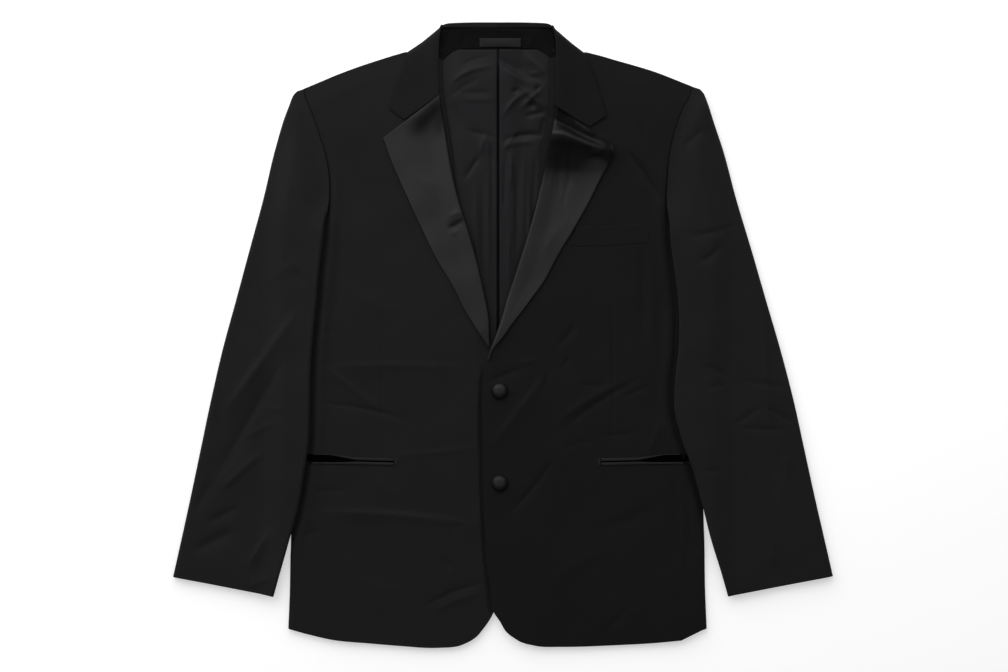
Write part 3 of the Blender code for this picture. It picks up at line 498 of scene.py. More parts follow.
def body_top(side, out, up):
    """Upper face of a front before the sleeve presses its hollow into it."""
    height = level(LOFT, "top", up) + PAD_WALL * pad(out, up)
    line = np.interp(-out, -SHOULDER[side]["out"], SHOULDER[side]["up"])
    height = height - SHOULDER_DROP * (1 - ease(0, SHOULDER_ROUND, line - up)) * ease(*SHOULDER_OUT, out)
    near = (1 - ease(*LAP_OUT, out)) * (1 - ease(*LAP_TOP, up))
    height = height + near * (LAP_UP if side == "left" else -LAP_DOWN)
    if side == "right":
        past = out + level(LAP_LINE, "out", up)
        height = height - level(LAP_GROOVE, "depth", up) * trench(past - LAP_GROOVE_OFF, LAP_GROOVE_REACH)
    return height + unevenness(out, up, *WAVES[side]) + FRONT_DEPTH * creases(FRONT_CREASES[side], out, up)


# %% [markdown]
# ## Sheets of cloth
# A sheet starts as a grid of points on its outer face, one thread of points for every few millimetres. The
# grid's own rows and columns follow the piece's edges, so they are also kept as a UV map in metres, and the
# weave follows the cut of each piece. A Solidify modifier gives the wall and a Bevel softens its rim.

# %% Cloth from a grid
RIM = {"steps": 2, "angle": 50}         # where a wall turns by more than this its edge is rounded
made = {}


def cloth(name, side, grid, wall, material, faces_up=True, rim=0.5, crush_and_painted_shade=None):
    """A sheet of cloth whose outer face is a grid of (out, up, height) points."""
    rows, columns = grid.shape[:2]
    points = grid * MM
    points[..., 0] = CENTRE * MM + SIDES[side] * points[..., 0]
    index = np.arange(rows * columns).reshape(rows, columns)
    faces = np.stack([index[:-1, :-1], index[:-1, 1:], index[1:, 1:], index[1:, :-1]], -1).reshape(-1, 4)
    flat = points.reshape(-1, 3)
    highest = flat[faces[flat[faces][..., 2].mean(1).argmax()]]
    across = np.cross(highest[1] - highest[0], highest[2] - highest[0])
    if (across[2] > 0) != faces_up:
        faces = faces[:, ::-1]
    mesh = bpy.data.meshes.new(name)
    mesh.from_pydata(flat.tolist(), [], faces.tolist())
    widths = np.linalg.norm(np.diff(points, axis=1), axis=2)
    heights = np.linalg.norm(np.diff(points, axis=0), axis=2)
    u = np.concatenate([np.zeros((rows, 1)), widths.cumsum(1)], 1)
    v = np.concatenate([np.zeros((1, columns)), heights.cumsum(0)], 0)
    threads = np.stack([u, v], -1).reshape(-1, 2)
    layer = mesh.uv_layers.new(name="threads")
    corners = np.empty(len(mesh.loops), int)
    mesh.loops.foreach_get("vertex_index", corners)
    layer.data.foreach_set("uv", threads[corners].ravel())
    # a mask for the satin's roughness and its painted shade
    if crush_and_painted_shade is not None:
        marks = mesh.attributes.new(name="crush_and_painted_shade", type="FLOAT", domain="POINT")
        marks.data.foreach_set("value", np.clip(crush_and_painted_shade, 0, 1).ravel())
    mesh.shade_smooth()
    piece = bpy.data.objects.new(name, mesh)
    bpy.context.scene.collection.objects.link(piece)
    piece.data.materials.append(material)
    thick = piece.modifiers.new("wall", "SOLIDIFY")
    thick.thickness = wall * MM
    thick.offset = -1
    soft = piece.modifiers.new("rim", "BEVEL")
    soft.width = rim * MM
    soft.segments = RIM["steps"]
    soft.angle_limit = math.radians(RIM["angle"])
    area = (widths[:-1] * heights[:, :-1]).sum()
    made[name] = (piece, float(widths.sum(1).max()), float(heights.sum(0).max()), float(area))
    return piece


def lifted(flat, height):
    """A flat grid with its heights added."""
    return np.concatenate([flat, height[..., None]], -1)


def steps(length, spacing):
    """How many points a line of some length needs."""
    return int(math.ceil(length / spacing)) + 1


def evenly(name, spacing=FINE):
    """Shares from 0 to 1, one for each of a mesh's threads."""
    return np.linspace(0, 1, THREADS[name] if name in THREADS else steps(SPAN[name], spacing))


def patch(foot, head, side_line, front_line, across):
    """Grid of (out, up) filling four edge lines that meet at their ends."""
    levels = lengths(side_line)
    u, v = across[None, :, None], levels[:, None, None]
    low, high = along(foot, across)[None], along(head, across)[None]
    first, last = side_line[:, None], along(front_line, levels)[:, None]
    corners = ((1 - u) * (1 - v) * low[:, :1] + u * (1 - v) * low[:, -1:]
               + (1 - u) * v * high[:, :1] + u * v * high[:, -1:])
    return (1 - v) * low + v * high + (1 - u) * first + u * last - corners


# %% [markdown]
# ## Finishes
# The wool is a fine, matte twill. Its threads are too small to see from afar, but they break up the light,
# so it has no gloss at all. The satin of the lapels is smooth, with long threads on top, and mirrors the
# room softly. Where it is crumpled or lies in shade it is rougher, and a dark matte finish is mixed in there
# as painted shade. The lining is a thin, slightly bluish weave between the two. Some pieces get darker or
# lighter copies of the one wool, as painted shade and painted light.

# %% Shader maths
class Value:
    """A socket in a tree of nodes, with the sums that make new ones."""

    def __init__(self, tree, socket):
        self.tree, self.socket = tree, socket

    def sum(self, operation, *others):
        return self.tree.node("ShaderNodeMath", {"operation": operation}, dict(enumerate([self, *others])))

    def __add__(self, other):
        return self.sum("ADD", other)

    def __mul__(self, other):
        return self.sum("MULTIPLY", other)


class Nodes:
    """The nodes of a finish or of the sky."""

    def __init__(self, tree):
        self.nodes, self.links = tree.nodes, tree.links

    def set(self, target, value):
        """Give a socket a value or a link."""
        if isinstance(value, Value):
            self.links.new(value.socket, target)
        else:
            target.default_value = value

    def node(self, kind, settings=None, inputs=None, output=0):
        """Add a node: its settings first, then the values or links of its sockets."""
        made_node = self.nodes.new(kind)
        for setting, value in (settings or {}).items():
            setattr(made_node, setting, value)
        for socket, value in (inputs or {}).items():
            self.set(made_node.inputs[socket], value)
        return Value(self, made_node.outputs[output])

    def noise(self, where, scale, detail):
        return self.node("ShaderNodeTexNoise", None, {"Vector": where, "Scale": scale, "Detail": detail})

    def mix(self, factor, one, two):
        colours = {"Factor": factor, 6: (*one, 1), 7: (*two, 1)}
        return self.node("ShaderNodeMix", {"data_type": "RGBA"}, colours, 2)


class Finish(Nodes):
    """One material and the nodes behind its Principled shader."""

    def __init__(self, name, **fixed):
        self.material = bpy.data.materials.new(name)
        self.material.use_nodes = True
        super().__init__(self.material.node_tree)
        self.shader = self.nodes["Principled BSDF"]
        self.give(**fixed)

    def give(self, **values):
        """Values or links for the shader's sockets, with _ for the spaces in their names."""
        for socket, value in values.items():
            self.set(self.shader.inputs[socket.replace("_", " ")], value)


# %% Wool, satin and lining
RIB_SCALE = 0.314           # a wave texture's scale for one rib to a length of 1
BUMP = {"ribs": 0.6, "yarn": 0.8, "strength": 0.35}
WEAVES = {                  # tone and rough: what the yarns and the broad clouds add
    "wool": {"pitch": 0.7, "depth": 0.25, "grain": 900, "clouds": (9, 3.0), "tone": (0.6, 0.4),
             "dark": (0.0062, 0.0062, 0.0062), "light": (0.0132, 0.0132, 0.0132),
             "rough": (0.15, 0.0), "least_rough": 0.78,
             "fixed": {"Specular_IOR_Level": 0.08, "Sheen_Weight": 0.03, "Sheen_Roughness": 0.6}},
    "satin": {"pitch": 0.35, "depth": 0.08, "grain": 1500, "clouds": (25, 2.0), "tone": (0.0, 1.0),
              "dark": (0.0030, 0.0030, 0.0038), "light": (0.0044, 0.0044, 0.0054),
              "rough": (0.06, 0.08), "least_rough": 0.38,
              "fixed": {"Specular_IOR_Level": 0.28, "Anisotropic": 0.35}},
    "lining": {"pitch": 0.3, "depth": 0.08, "grain": 1500, "clouds": (18, 2.0), "tone": (0.0, 1.0),
               "dark": (0.0018, 0.0018, 0.0026), "light": (0.0036, 0.0036, 0.0050),
               "rough": (0.06, 0.10), "least_rough": 0.42,
               "fixed": {"Specular_IOR_Level": 0.165}},
}
CRUSHED_ROUGH = 0.30
CRUSHED_DULL = 0.9          # share of the dark matte finish mixed in there, as painted shade
DULL_PAINTED_SHADE = {"Base Color": (0.0014, 0.0014, 0.0016, 1), "Roughness": 0.8, "Specular IOR Level": 0.08}


def woven(name, kind, slant=0.0, shade=1.0, least_rough=None, **changed):
    """A cloth's finish: a bump of fine ribs at a slant with uneven yarns, and broad clouds of tone."""
    cut = WEAVES[kind]
    finish = Finish(name, **{**cut["fixed"], **changed})
    threads = finish.node("ShaderNodeUVMap", {"uv_map": "threads"})
    turned = finish.node("ShaderNodeMapping", None, {"Vector": threads, "Rotation": (0, 0, slant)})
    ribs = finish.node("ShaderNodeTexWave", {"bands_direction": "X"},
                       {"Vector": turned, "Scale": RIB_SCALE / (cut["pitch"] * MM), "Distortion": 0.6,
                        "Detail": 1.0, "Detail Scale": 2.0}, "Fac")
    yarn = finish.noise(threads, cut["grain"], 3.0)
    bump = finish.node("ShaderNodeBump", None,
                       {"Height": ribs * BUMP["ribs"] + yarn * BUMP["yarn"], "Strength": BUMP["strength"],
                        "Distance": cut["depth"] * MM})
    cloud = finish.noise(finish.node("ShaderNodeTexCoord", output="Object"), *cut["clouds"])
    tone, rough = [yarn * cut[part][0] + cloud * cut[part][1] for part in ("tone", "rough")]
    rough = rough + (cut["least_rough"] if least_rough is None else least_rough)
    # shade scales the colour of a copy of one cloth: below 1 it is painted shade, above 1 painted light
    dark, light = [[shade * amount for amount in cut[end]] for end in ("dark", "light")]
    # the mask makes the satin rougher and mixes in a dark matte finish: painted shade
    if kind == "satin":
        crush_and_painted_shade = finish.node("ShaderNodeAttribute", {"attribute_name": "crush_and_painted_shade"}, None, "Fac")
        rough = rough + crush_and_painted_shade * CRUSHED_ROUGH
        painted_shade_finish = finish.node("ShaderNodeBsdfPrincipled", None, {**DULL_PAINTED_SHADE, "Normal": bump})
        blend = finish.node("ShaderNodeMixShader", None,
                            {0: crush_and_painted_shade * CRUSHED_DULL, 1: Value(finish, finish.shader.outputs[0]), 2: painted_shade_finish})
        finish.set(finish.nodes["Material Output"].inputs["Surface"], blend)
    finish.give(Base_Color=finish.mix(tone, dark, light), Roughness=rough, Normal=bump)
    return finish.material


# Copies of the one wool at other tones, painted to match how the light falls: painted shade and painted
# light. The slant turns the twill.
wool = woven("black wool twill", "wool", 0.9)
wool_painted_light = woven("black wool twill, nap up", "wool", 0.9, 1.10)
wool_painted_shade = woven("black wool twill, nap down", "wool", -0.9, 0.64)
collar_painted_shade = woven("black wool twill, collar", "wool", -0.7, 0.80)
collar_painted_deep_shade = woven("black wool twill, collar, nap down", "wool", 0.7, 0.54)
# the stand's tone, a tenth of the wool's, is painted shadow under the collar's fold
stand_wool = woven("black wool twill, stand", "wool", 0.4, 0.10)
satin = woven("black satin", "satin")
button_satin = woven("black satin, buttons", "satin", least_rough=0.50)
jet_satin = woven("black satin, jets", "satin", least_rough=0.52, Specular_IOR_Level=0.24)
lining = woven("black lining", "lining")
ribbon = woven("black ribbon", "lining")
# near-black and without gloss: painted shadow inside the pocket openings
pocketing_painted_shadow = Finish("black pocketing", Base_Color=(0.0008, 0.0008, 0.0008, 1), Roughness=0.95,
                   Specular_IOR_Level=0.0).material
# each side's pieces get the copy whose painted shade or painted light suits that side
FRONT_WOOL = {"right": wool, "left": wool_painted_shade}
COLLAR_WOOL = {"right": collar_painted_shade, "left": collar_painted_deep_shade}
SLEEVE_WOOL = {"right": wool_painted_light, "left": wool}
print("finishes:", [material.name for material in bpy.data.materials])

# %% [markdown]
# ## Back and side panels
# They lie underneath, so a wider mesh is enough, but they are shaped in the same way: the back is flat on
# the surface, with a few creases of its own, and the side panel folds round the body's edge.

# %% Back and sides
SIDE_FOLD = 5.5             # radius of the side panel's fold
BACK_SEAM_IN = 35.0         # from the side fold in to the back's seam
SIDE_SEAM_IN = {"right": 22.0, "left": 33.0}
SIDE_SPACING = 4.0
UNDERARM_SEAM_UP = 108.0    # where the side panel's seams reach the armhole
PAST_UNDERARM = 3           # the armhole's first row past those seams


def side_edge(side, inset, foot_up, spacing):
    """A panel's long edge: the side seam, then round the armhole to the shoulder."""
    ups = np.linspace(foot_up, UNDERARM_SEAM_UP, steps(UNDERARM_SEAM_UP - foot_up, spacing))
    seam = np.column_stack([level(SIDE, "out", ups) - inset, ups])
    armhole = np.vstack([seam[-1:], pairs(ARMHOLE)[PAST_UNDERARM:-1], pairs(SHOULDER[side])[:1]])
    return np.vstack([seam, along(armhole, evenly("armhole", spacing))[1:]])


def make_back(side):
    shoulder = np.vstack([pairs(SHOULDER[side]), pairs(BACK_NECK)[1:]])
    hem = pairs(BACK_HEM)
    hem[-1, 0] = shoulder[-1, 0] = SEAM / 2
    edge = side_edge(side, BACK_SEAM_IN + SEAM, hem[0, 1], COARSE)
    hem[0] = edge[0]
    centre = np.array([hem[-1], shoulder[-1]])
    flat = patch(hem, shoulder, edge, centre, evenly("back", COARSE))
    height = back_top(side, flat[..., 0], flat[..., 1])
    cloth(f"back_{side}_cloth", side, lifted(flat, height), BACK_WALL, wool)


def make_side(side):
    inset = SIDE_SEAM_IN[side]
    hem_up = HEM[side]["up"][0]
    corners = table(
        "place turn foot head", (inset, 0, hem_up, UNDERARM_SEAM_UP), (SIDE_FOLD, 0, -378, 95),
        (SIDE_FOLD, 90, -376, 93), (SIDE_FOLD, 180, -376, 95), (BACK_SEAM_IN, 180, -373, UNDERARM_SEAM_UP))
    flap, fold = [THREADS["side " + part] for part in ("flap", "fold")]
    shares = np.concatenate([np.linspace(0, 1, flap), np.linspace(1, 3, fold)[1:],
                             np.linspace(3, 4, flap)[1:]])
    places = {name: np.interp(shares, range(5), column) for name, column in corners.items()}
    v = evenly("side", SIDE_SPACING)[:, None]
    up = places["foot"] + v * (places["head"] - places["foot"])
    turn = np.radians(places["turn"])
    out = level(SIDE, "out", up) - places["place"] + SIDE_FOLD * np.sin(turn)
    height = front_top(side, out, up) * (1 + np.cos(turn)) / 2
    cloth(f"side_{side}_cloth", side, np.stack([out, up, height], -1), SIDE_WALL, FRONT_WOOL[side])


for side in SIDES:
    make_back(side)
    make_side(side)
print("back and sides:", {name: len(value[0].data.polygons) for name, value in made.items()})

# %% [markdown]
# ## Fronts
# A front is one broad panel with a rounded cutaway at the hem. Its wall is the thickest, since canvas and
# facing lie inside it. The left front laps over the right one down the middle.

# %% Fronts
ROLL_IN = {"most": 4.6, "share": 0.3}   # the front ends this far short of the lapel's roll
FACING = {"right": 8.0, "left": 14.5}   # how far the facing reaches in past the lapel's roll
FACING_UP = (150.0, 235.0)
FACING_SINK = 2.2
FACING_FROM = -2.0          # it starts to sink just short of the roll
FACING_FOOT = (0.0, 20.0)


def welt_area(out, up):
    """1 under the breast pocket's welt and 0 around it."""
    low, high = [smooth(WELT["out"], WELT[name], out) for name in ("low", "high")]
    sides = ease(0, WELT_MARGIN, out - WELT["out"][0]) * ease(0, WELT_MARGIN, WELT["out"][-1] - out)
    return sides * ease(0, WELT_MARGIN, up - low) * ease(0, WELT_MARGIN, high - up)


def make_front(side):
    hem = pairs(HEM[side])
    roll, lapel_edge = [along(pairs(line[side]), evenly("roll")) for line in (LAPEL_ROLL, LAPEL_EDGE)]
    width = np.linalg.norm(lapel_edge - roll, axis=1)
    roll = np.vstack([roll, LAPEL_TOP[side]])
    line = roll.copy()
    roll[:, 0] += np.minimum(ROLL_IN["most"], ROLL_IN["share"] * np.append(width, width[-1]))
    roll[:, 0] -= FACING[side] * ease(*FACING_UP, roll[:, 1])
    front = np.vstack([pairs(FRONT_EDGE[side]), roll])
    shoulder = np.vstack([pairs(SHOULDER[side]), roll[-1:]])
    edge = side_edge(side, SIDE_SEAM_IN[side] + SEAM, hem[0, 1], CLOSE)
    hem[0] = edge[0]
    flat = patch(hem, shoulder, edge, front, evenly("front", CLOSE))
    out, up = flat[..., 0], flat[..., 1]
    height = front_top(side, out, up, pressed=np.minimum(creases(LAPEL_CREASES[side], out, up), 0))
    inside = smooth(line[:, 1], line[:, 0], up) - out
    height = height - FACING_SINK * ease(FACING_FROM, FACING[side], inside) * ease(*FACING_FOOT, up)
    if side == "left":
        height = height - WELT_SINK * welt_area(out, up)
    cloth(f"front_{side}_cloth", side, lifted(flat, height), FRONT_WALL, FRONT_WOOL[side], rim=0.7)


for side in SIDES:
    make_front(side)
print("fronts:", [round(made[f"front_{side}_cloth"][3], 3) for side in SIDES], "square metres")

# %% [markdown]
# ## Lapels and collar
# The lapel is the front's own edge, turned back and faced with satin. It lies flat near its edge and rises
# to a soft roll at the fold. The collar's leaf does the same, then folds over the shoulder line and falls
# behind the neck.

# %% Lapels
LAPEL_RISE_IN = (3.0, 26.0)
LAPEL_CURL = 2.6
TURN_SHARE = 0.45           # the most of a narrow piece's width that its turned fold takes up
LAPEL_CURL_SHARE = 0.22
SPRING = {"rise": 0.3, "in": -10.0, "width": (4.0, 20.0)}   # the pressed edge springs up a little
ROLL_TURNS = np.linspace(0, 150, 9)     # a roll is followed this far round, in degrees


def curl(turn):
    """How far in, and how far down, a roll of radius 1 has gone at a turn in degrees."""
    return 1 - math.sin(math.radians(turn)), math.cos(math.radians(turn)) - 1


def make_lapel(side):
    roll, edge = [along(pairs(line[side]), evenly("lapel", SHARP)) for line in (LAPEL_ROLL, LAPEL_EDGE)]
    width = np.linalg.norm(edge - roll, axis=1)
    direction = (edge - roll) / width[:, None]
    turn_in = np.minimum(LAPEL_RISE_IN[0], width * TURN_SHARE)
    rows = []
    for share in np.linspace(1, 0, steps(SPAN["lapel across"], SHARP))[:-1]:
        place = roll + direction * (turn_in + share * (width - turn_in))[:, None]
        far = np.linalg.norm(place - roll, axis=1)
        height = front_top(side, *place.T) + LAY + LAPEL_WALL
        height += ROLL_RISE * (1 - ease(*LAPEL_RISE_IN, far)) + creases(LAPEL_CREASES[side], *place.T)
        height += SPRING["rise"] * ease(SPRING["in"], 0, far - width) * ease(*SPRING["width"], width)
        rows.append(lifted(place, height))
    base = front_top(side, *roll.T) + LAY + LAPEL_WALL + ROLL_RISE + creases(LAPEL_CREASES[side], *roll.T)
    depth = np.minimum(LAPEL_CURL, width * LAPEL_CURL_SHARE)
    for turn in ROLL_TURNS:
        inward, drop = curl(turn)
        rows.append(lifted(roll + direction * (turn_in * inward)[:, None], base + depth * drop))
    grid = np.array(rows)
    # the mask of roughness and painted shade on the lapel
    crush_and_painted_shade = creases(CRUSH_AND_PAINTED_SHADE[side], grid[..., 0], grid[..., 1])
    cloth(f"lapel_{side}_satin", side, grid, LAPEL_WALL, satin, rim=0.6, crush_and_painted_shade=crush_and_painted_shade)


# %% Collar
COLLAR_RISE_IN = (3.0, 30.0)
COLLAR_CURL = {"in": 3.2, "leaf": 2.7, "fall": 3.9}
COLLAR_BAND_SINK = 0.3
COLLAR_CLEAR = 0.3
COLLAR_BAND = 5.6           # at the back the turned edge shows as a band this wide
COLLAR_BAND_LEAST = 0.12    # and in front as this share of it


def make_collar(side):
    """Half of the collar: its leaf on the front, folded over the shoulder line to the fall behind."""
    edge, mid, roll = guides(COLLAR[side], ("edge", "mid", "roll"), ("out", "up"), THREADS["collar"])
    turns = COLLAR[side]["turn"]
    places = np.linspace(0, len(turns) - 1, THREADS["collar"])
    behind = (1 - np.cos(np.radians(np.interp(places, range(len(turns)), turns)))) / 2
    inward = (mid - roll) / np.linalg.norm(mid - roll, axis=1)[:, None]
    rows = []
    for share in np.linspace(0, 2, THREADS["collar across"])[:-1]:
        place = edge + share * (mid - edge) if share < 1 else mid + (share - 1) * (roll - mid)
        far = np.linalg.norm(place - roll, axis=1)
        near, inner = 1 - ease(*COLLAR_RISE_IN, far), ease(0, COLLAR_CURL["in"], far)
        leaf = front_top(side, *place.T) + LAY + COLLAR_WALL + COLLAR_CLEAR * inner + ROLL_RISE * near
        if far.min() > COLLAR_CURL["in"] + 1:
            rows.append(lifted(place, leaf * (1 - behind)))
    leaf = front_top(side, *roll.T) + LAY + COLLAR_WALL + ROLL_RISE
    curled = abs(1 - 2 * behind)
    for turn, spread in zip(ROLL_TURNS, np.linspace(1, 0, len(ROLL_TURNS))):
        back_in, drop = curl(turn)
        place = COLLAR_CURL["in"] * (curled * back_in + (1 - curled) * spread)
        height = (leaf + COLLAR_CURL["leaf"] * curled * drop) * (1 - behind)
        height -= COLLAR_CURL["fall"] * curled * drop * behind
        rows.append(lifted(roll + inward * place[:, None], height))
    band = COLLAR_BAND * (COLLAR_BAND_LEAST + (1 - COLLAR_BAND_LEAST) * behind ** 3)
    for share in evenly("band across")[1:]:
        further = place + band * share
        rows.append(lifted(roll + inward * further[:, None], height - COLLAR_BAND_SINK * share ** 2))
    cloth(f"collar_{side}_wool", side, np.array(rows), COLLAR_WALL, COLLAR_WOOL[side], rim=0.5)


for side in SIDES:
    make_lapel(side)
    make_collar(side)
print("lapels and collar done:", len(made), "pieces")

# %% [markdown]
# ## Inside the neck
# The stand is the band round the back of the neck, with a small blank tab sewn on. Below it hangs the
# lining, whose left half laps over the right one at the centre as a pleat, to give room across the back.

# %% Stand, tab and lining
TAB = {"across": 53.0, "along": 11.6, "thick": 0.8, "out": 3.5, "up": 373.5, "clear": 0.5, "sag": 0.5}
STAND_CREASES = table(
    COLUMNS,
    (-54, 390, 58, 386, 1.0, 4, -2, 0.4), (-34, 376, 44, 383, -0.9, 4, 2), (-50, 362, -38, 390, -1.0, 5),
    (38, 366, 50, 390, 1.0, 5), (-76, 350, -62, 390, -1.8, 8),
    (76, 350, 62, 390, -1.8, 8))  # hollows at its ends
PLEAT = {"right": {"start": (-12, -6, -3, -2, -1.4, -0.9, -0.4, 0.1, 0.6, 1.2), "low": -1.2, "high": 1.4},
         "left": {"start": (1.0, 1.3, 1.7, 2.1, 2.6), "low": 0.8, "high": 2.9}}
PLEAT_RISE = 2.0            # the upper half of the pleat lies this much higher
PLEAT_RISE_OUT = (15.0, 35.0)
LINING_CLEAR = 0.15         # least gap between the lining and the back
LINING_LOFT = 2.2           # how far the loose lining stands off the back
LINING_LOFT_OUT = (44.0, 72.0)
LINING_LOFT_UP = (325.0, 364.0)
LINING_TOP_SHARE = 0.45     # of which this much is gone at the neck seam
LINING_DEPTH = 1.4          # what the rises of its creases are multiplied by


def make_stand():
    whole = {name: np.concatenate([column[::-1] * (-1 if name.endswith("out") else 1), column])
             for name, column in STAND.items()}
    seam, crest = guides(whole, ("seam", "crest"), ("out", "up", "top"), THREADS["stand"])
    grid = seam + evenly("stand across")[:, None, None] * (crest - seam)
    grid[..., 2] += creases(STAND_CREASES, grid[..., 0], grid[..., 1])
    # its finish is darkened as painted shadow under the collar
    cloth("collar_stand_wool", "left", grid, STAND_WALL, stand_wool, rim=0.4)


def make_tab():
    u = np.linspace(-0.5, 0.5, THREADS["tab"])[None]
    v = np.linspace(-0.5, 0.5, THREADS["tab across"])[:, None]
    out = TAB["out"] + TAB["across"] * u + 0 * v
    up = TAB["up"] + TAB["along"] * v + 0 * u
    sag = TAB["sag"] * np.sin(math.pi * (u + 0.5)) * np.sin(math.pi * (v + 0.5))
    height = STAND["seam_top"].min() + TAB["clear"] + TAB["thick"] + sag
    cloth("neck_tab_ribbon", "left", np.stack([out, up, height], -1), TAB["thick"], ribbon, rim=0.2)


def make_lining(side):
    """Half of the lining. At the pleat both halves turn down into a narrow gap, and one goes on below."""
    pleat = PLEAT[side]
    ups = np.linspace(LINING_FOOT_UP, LINING_TOP_UP, steps(SPAN["lining"], CLOSE))[:, None]
    outer = level(LINING_OUTER, "out", ups)
    start = np.array(pleat["start"])
    rest = start[-1] + evenly("lining across", SHARP)[None, 1:] * (outer - start[-1])
    out = np.concatenate([start + 0 * ups, rest], 1)
    up = ups + 0 * out
    base = back_top(side, out, up) + LINING_WALL + LINING_CLEAR
    loft = LINING_LOFT * (1 - ease(*LINING_LOFT_OUT, out))
    loft = loft * (1 - LINING_TOP_SHARE * ease(*LINING_LOFT_UP, up))
    loft = loft + LINING_DEPTH * creases(LINING_CREASES[side], out, up)
    if side == "left":
        loft = loft + PLEAT_RISE * (1 - ease(*PLEAT_RISE_OUT, out))
    height = base + np.maximum(loft, 0) * ease(pleat["low"], pleat["high"], out)
    cloth(f"lining_{side}_cloth", side, np.stack([out, up, height], -1), LINING_WALL, lining, rim=0.3)


make_stand()
make_tab()
for side in SIDES:
    make_lining(side)
print("neck done:", len(made), "pieces")

# %% [markdown]
# ## Sleeves
# A sleeve is a flattened tube. The top sleeve is wrapped round both folds and the under sleeve closes the
# tube below. Near the shoulder its inner fold opens into the armhole seam, and lower down it rests on the
# body's side before it reaches the surface.

# %% Sleeves
SLEEVE_THICK = 11.0
SLEEVE_DROP = (9.0, 42.0)   # past the body's edge it comes down to the surface
SLEEVE_OPEN = (126.0, 180.0)    # where its inner fold opens into the armhole seam
SLEEVE_LIFT = (116.0, 152.0)    # and where its under side leaves the front
SLEEVE_BEND = 4.5           # radius of its outer fold
INNER_BEND = 2.8            # the inner fold is pressed sharper than the outer one
BEND_SHARE = 0.3            # the most of a narrow sleeve's width that each fold takes up
FOLD_CLEAR = (4.0, 16.0)    # creases set in this far from the folds
HOOK_FROM = (0.75, 1.0)     # where the inner fold hooks under the sleeve
SLEEVE_OUT_OF_ARMHOLE = 35.0
TURN_UNDER = 12.0           # how far the top sleeve reaches round under each fold
ARMHOLE_GAP = 1.2           # between the under sleeve and the body
CAP_LAP = 2.0
UNDER_SLEEVE_TOP_UP = 294.0
HIDDEN_ROWS = 2             # underneath, every second row is enough
POCKET = {"inner_out": 132.7, "inner_up": -158.4, "outer_out": 258.0, "outer_up": -155.5,
          "middle_up": -160.5}
POCKET_BUMP = (14.0, 50.0)
INNER_FOLD = table("turn spread hook", (180, 6.5, 1), (150, 4.6, 0.3), (90, 2.8, 0), (40, 1.2, 0), (0, 0, 0))


def sleeve_floor(side, out, up):
    """What a sleeve lies on: the front with its pocket, and the table past the body's edge."""
    past = out - level(SLEEVE_REST, "out", up)
    pocket = (1 - ease(*POCKET_BUMP, abs(up - POCKET["middle_up"]))) * (JET_WALL + 2 * SEAM)
    return (body_top(side, out, up) + pocket + LAY) * (1 - ease(*SLEEVE_DROP, past))


def make_sleeve(side):
    start, end = [along(pairs(line[side]), evenly("sleeve")) for line in (SLEEVE_INNER, SLEEVE_OUTER)]
    width = np.linalg.norm(end - start, axis=1)[:, None]
    across = (end - start) / width
    rolled = 1 - ease(*SLEEVE_OPEN, start[:, 1:])
    bend, inner_bend = [np.minimum(most, width * BEND_SHARE) for most in (SLEEVE_BEND, INNER_BEND)]
    wrap = np.minimum(TURN_UNDER, width * TURN_SHARE)

    def section(place, turn, on_body=False):
        """Points at distances across the sleeve, on a layer turned from the top by some degrees."""
        out = start[:, :1] + across[:, :1] * place
        up = start[:, 1:] + across[:, 1:] * place
        floor = sleeve_floor(side, out, up)
        inside = ease(*FOLD_CLEAR, place) * ease(*FOLD_CLEAR, width - place)
        low = floor if on_body else floor * (1 - ease(*SLEEVE_LIFT, up))
        low = low + np.maximum(creases(UNDER_CREASES[side], out, up), 0) * inside
        full = rolled + (1 - rolled) * ease(0, SLEEVE_OUT_OF_ARMHOLE, place)
        swell = SLEEVE_DEPTH * creases(SLEEVE_CREASES[side], out, up) + unevenness(out, up, *WAVES["sleeve"])
        high = floor + SLEEVE_WALL + (SLEEVE_THICK - SLEEVE_WALL) * full + swell * inside
        height = low + (high - low) * (1 + np.cos(np.radians(turn))) / 2
        return np.stack([out, up, height], -1)

    known = np.arange(len(INNER_FOLD["turn"]))
    fine = np.linspace(0, known[-1], THREADS["fold"])[:-1]
    turns, spreads, hooks = [np.interp(fine, known, INNER_FOLD[name]) for name in ("turn", "spread", "hook")]
    turned = turns * rolled
    place = inner_bend * (1 - np.sin(np.radians(turned))) - spreads * (1 - rolled) ** 2
    inner = section(place + hooks * (wrap - inner_bend) * ease(*HOOK_FROM, rolled), turned, on_body=True)
    across_top = evenly("sleeve across") * (width - bend - inner_bend)
    top = section(inner_bend + across_top, np.zeros_like(width))
    turned = np.linspace(0, 180, THREADS["outer fold"])[1:-1] + 0 * width
    outer = section(width - bend * (1 - np.sin(np.radians(turned))), turned)
    under = section(width - np.linspace(0.5, 1, THREADS["turned under"]) * wrap, 180 + 0 * width)
    grid = np.concatenate([inner, top, outer, under], 1)
    cloth(f"top_sleeve_{side}_cloth", side, grid, SLEEVE_WALL, SLEEVE_WOOL[side], rim=0.5)

    first = np.full_like(width, CAP_LAP + ARMHOLE_GAP)
    for _ in range(4):                  # each round comes closer to the armhole's line
        spot = start + across * first
        step = (body_out(spot[:, 1:]) + ARMHOLE_GAP - spot[:, :1]) / across[:, :1]
        first = np.maximum(first + step, CAP_LAP)
    first = np.where(start[:, 1:] < ARMHOLE["up"][0], wrap + 2 * SEAM, first)
    last = width - wrap - 2 * SEAM
    first = np.minimum(first, last - 1)
    grid = section(first + evenly("under sleeve") * (last - first), 180 + 0 * width)
    keep = start[:, 1] < UNDER_SLEEVE_TOP_UP
    cloth(f"under_sleeve_{side}_cloth", side, grid[keep][::HIDDEN_ROWS], SLEEVE_WALL, SLEEVE_WOOL[side],
          faces_up=False, rim=0.4)


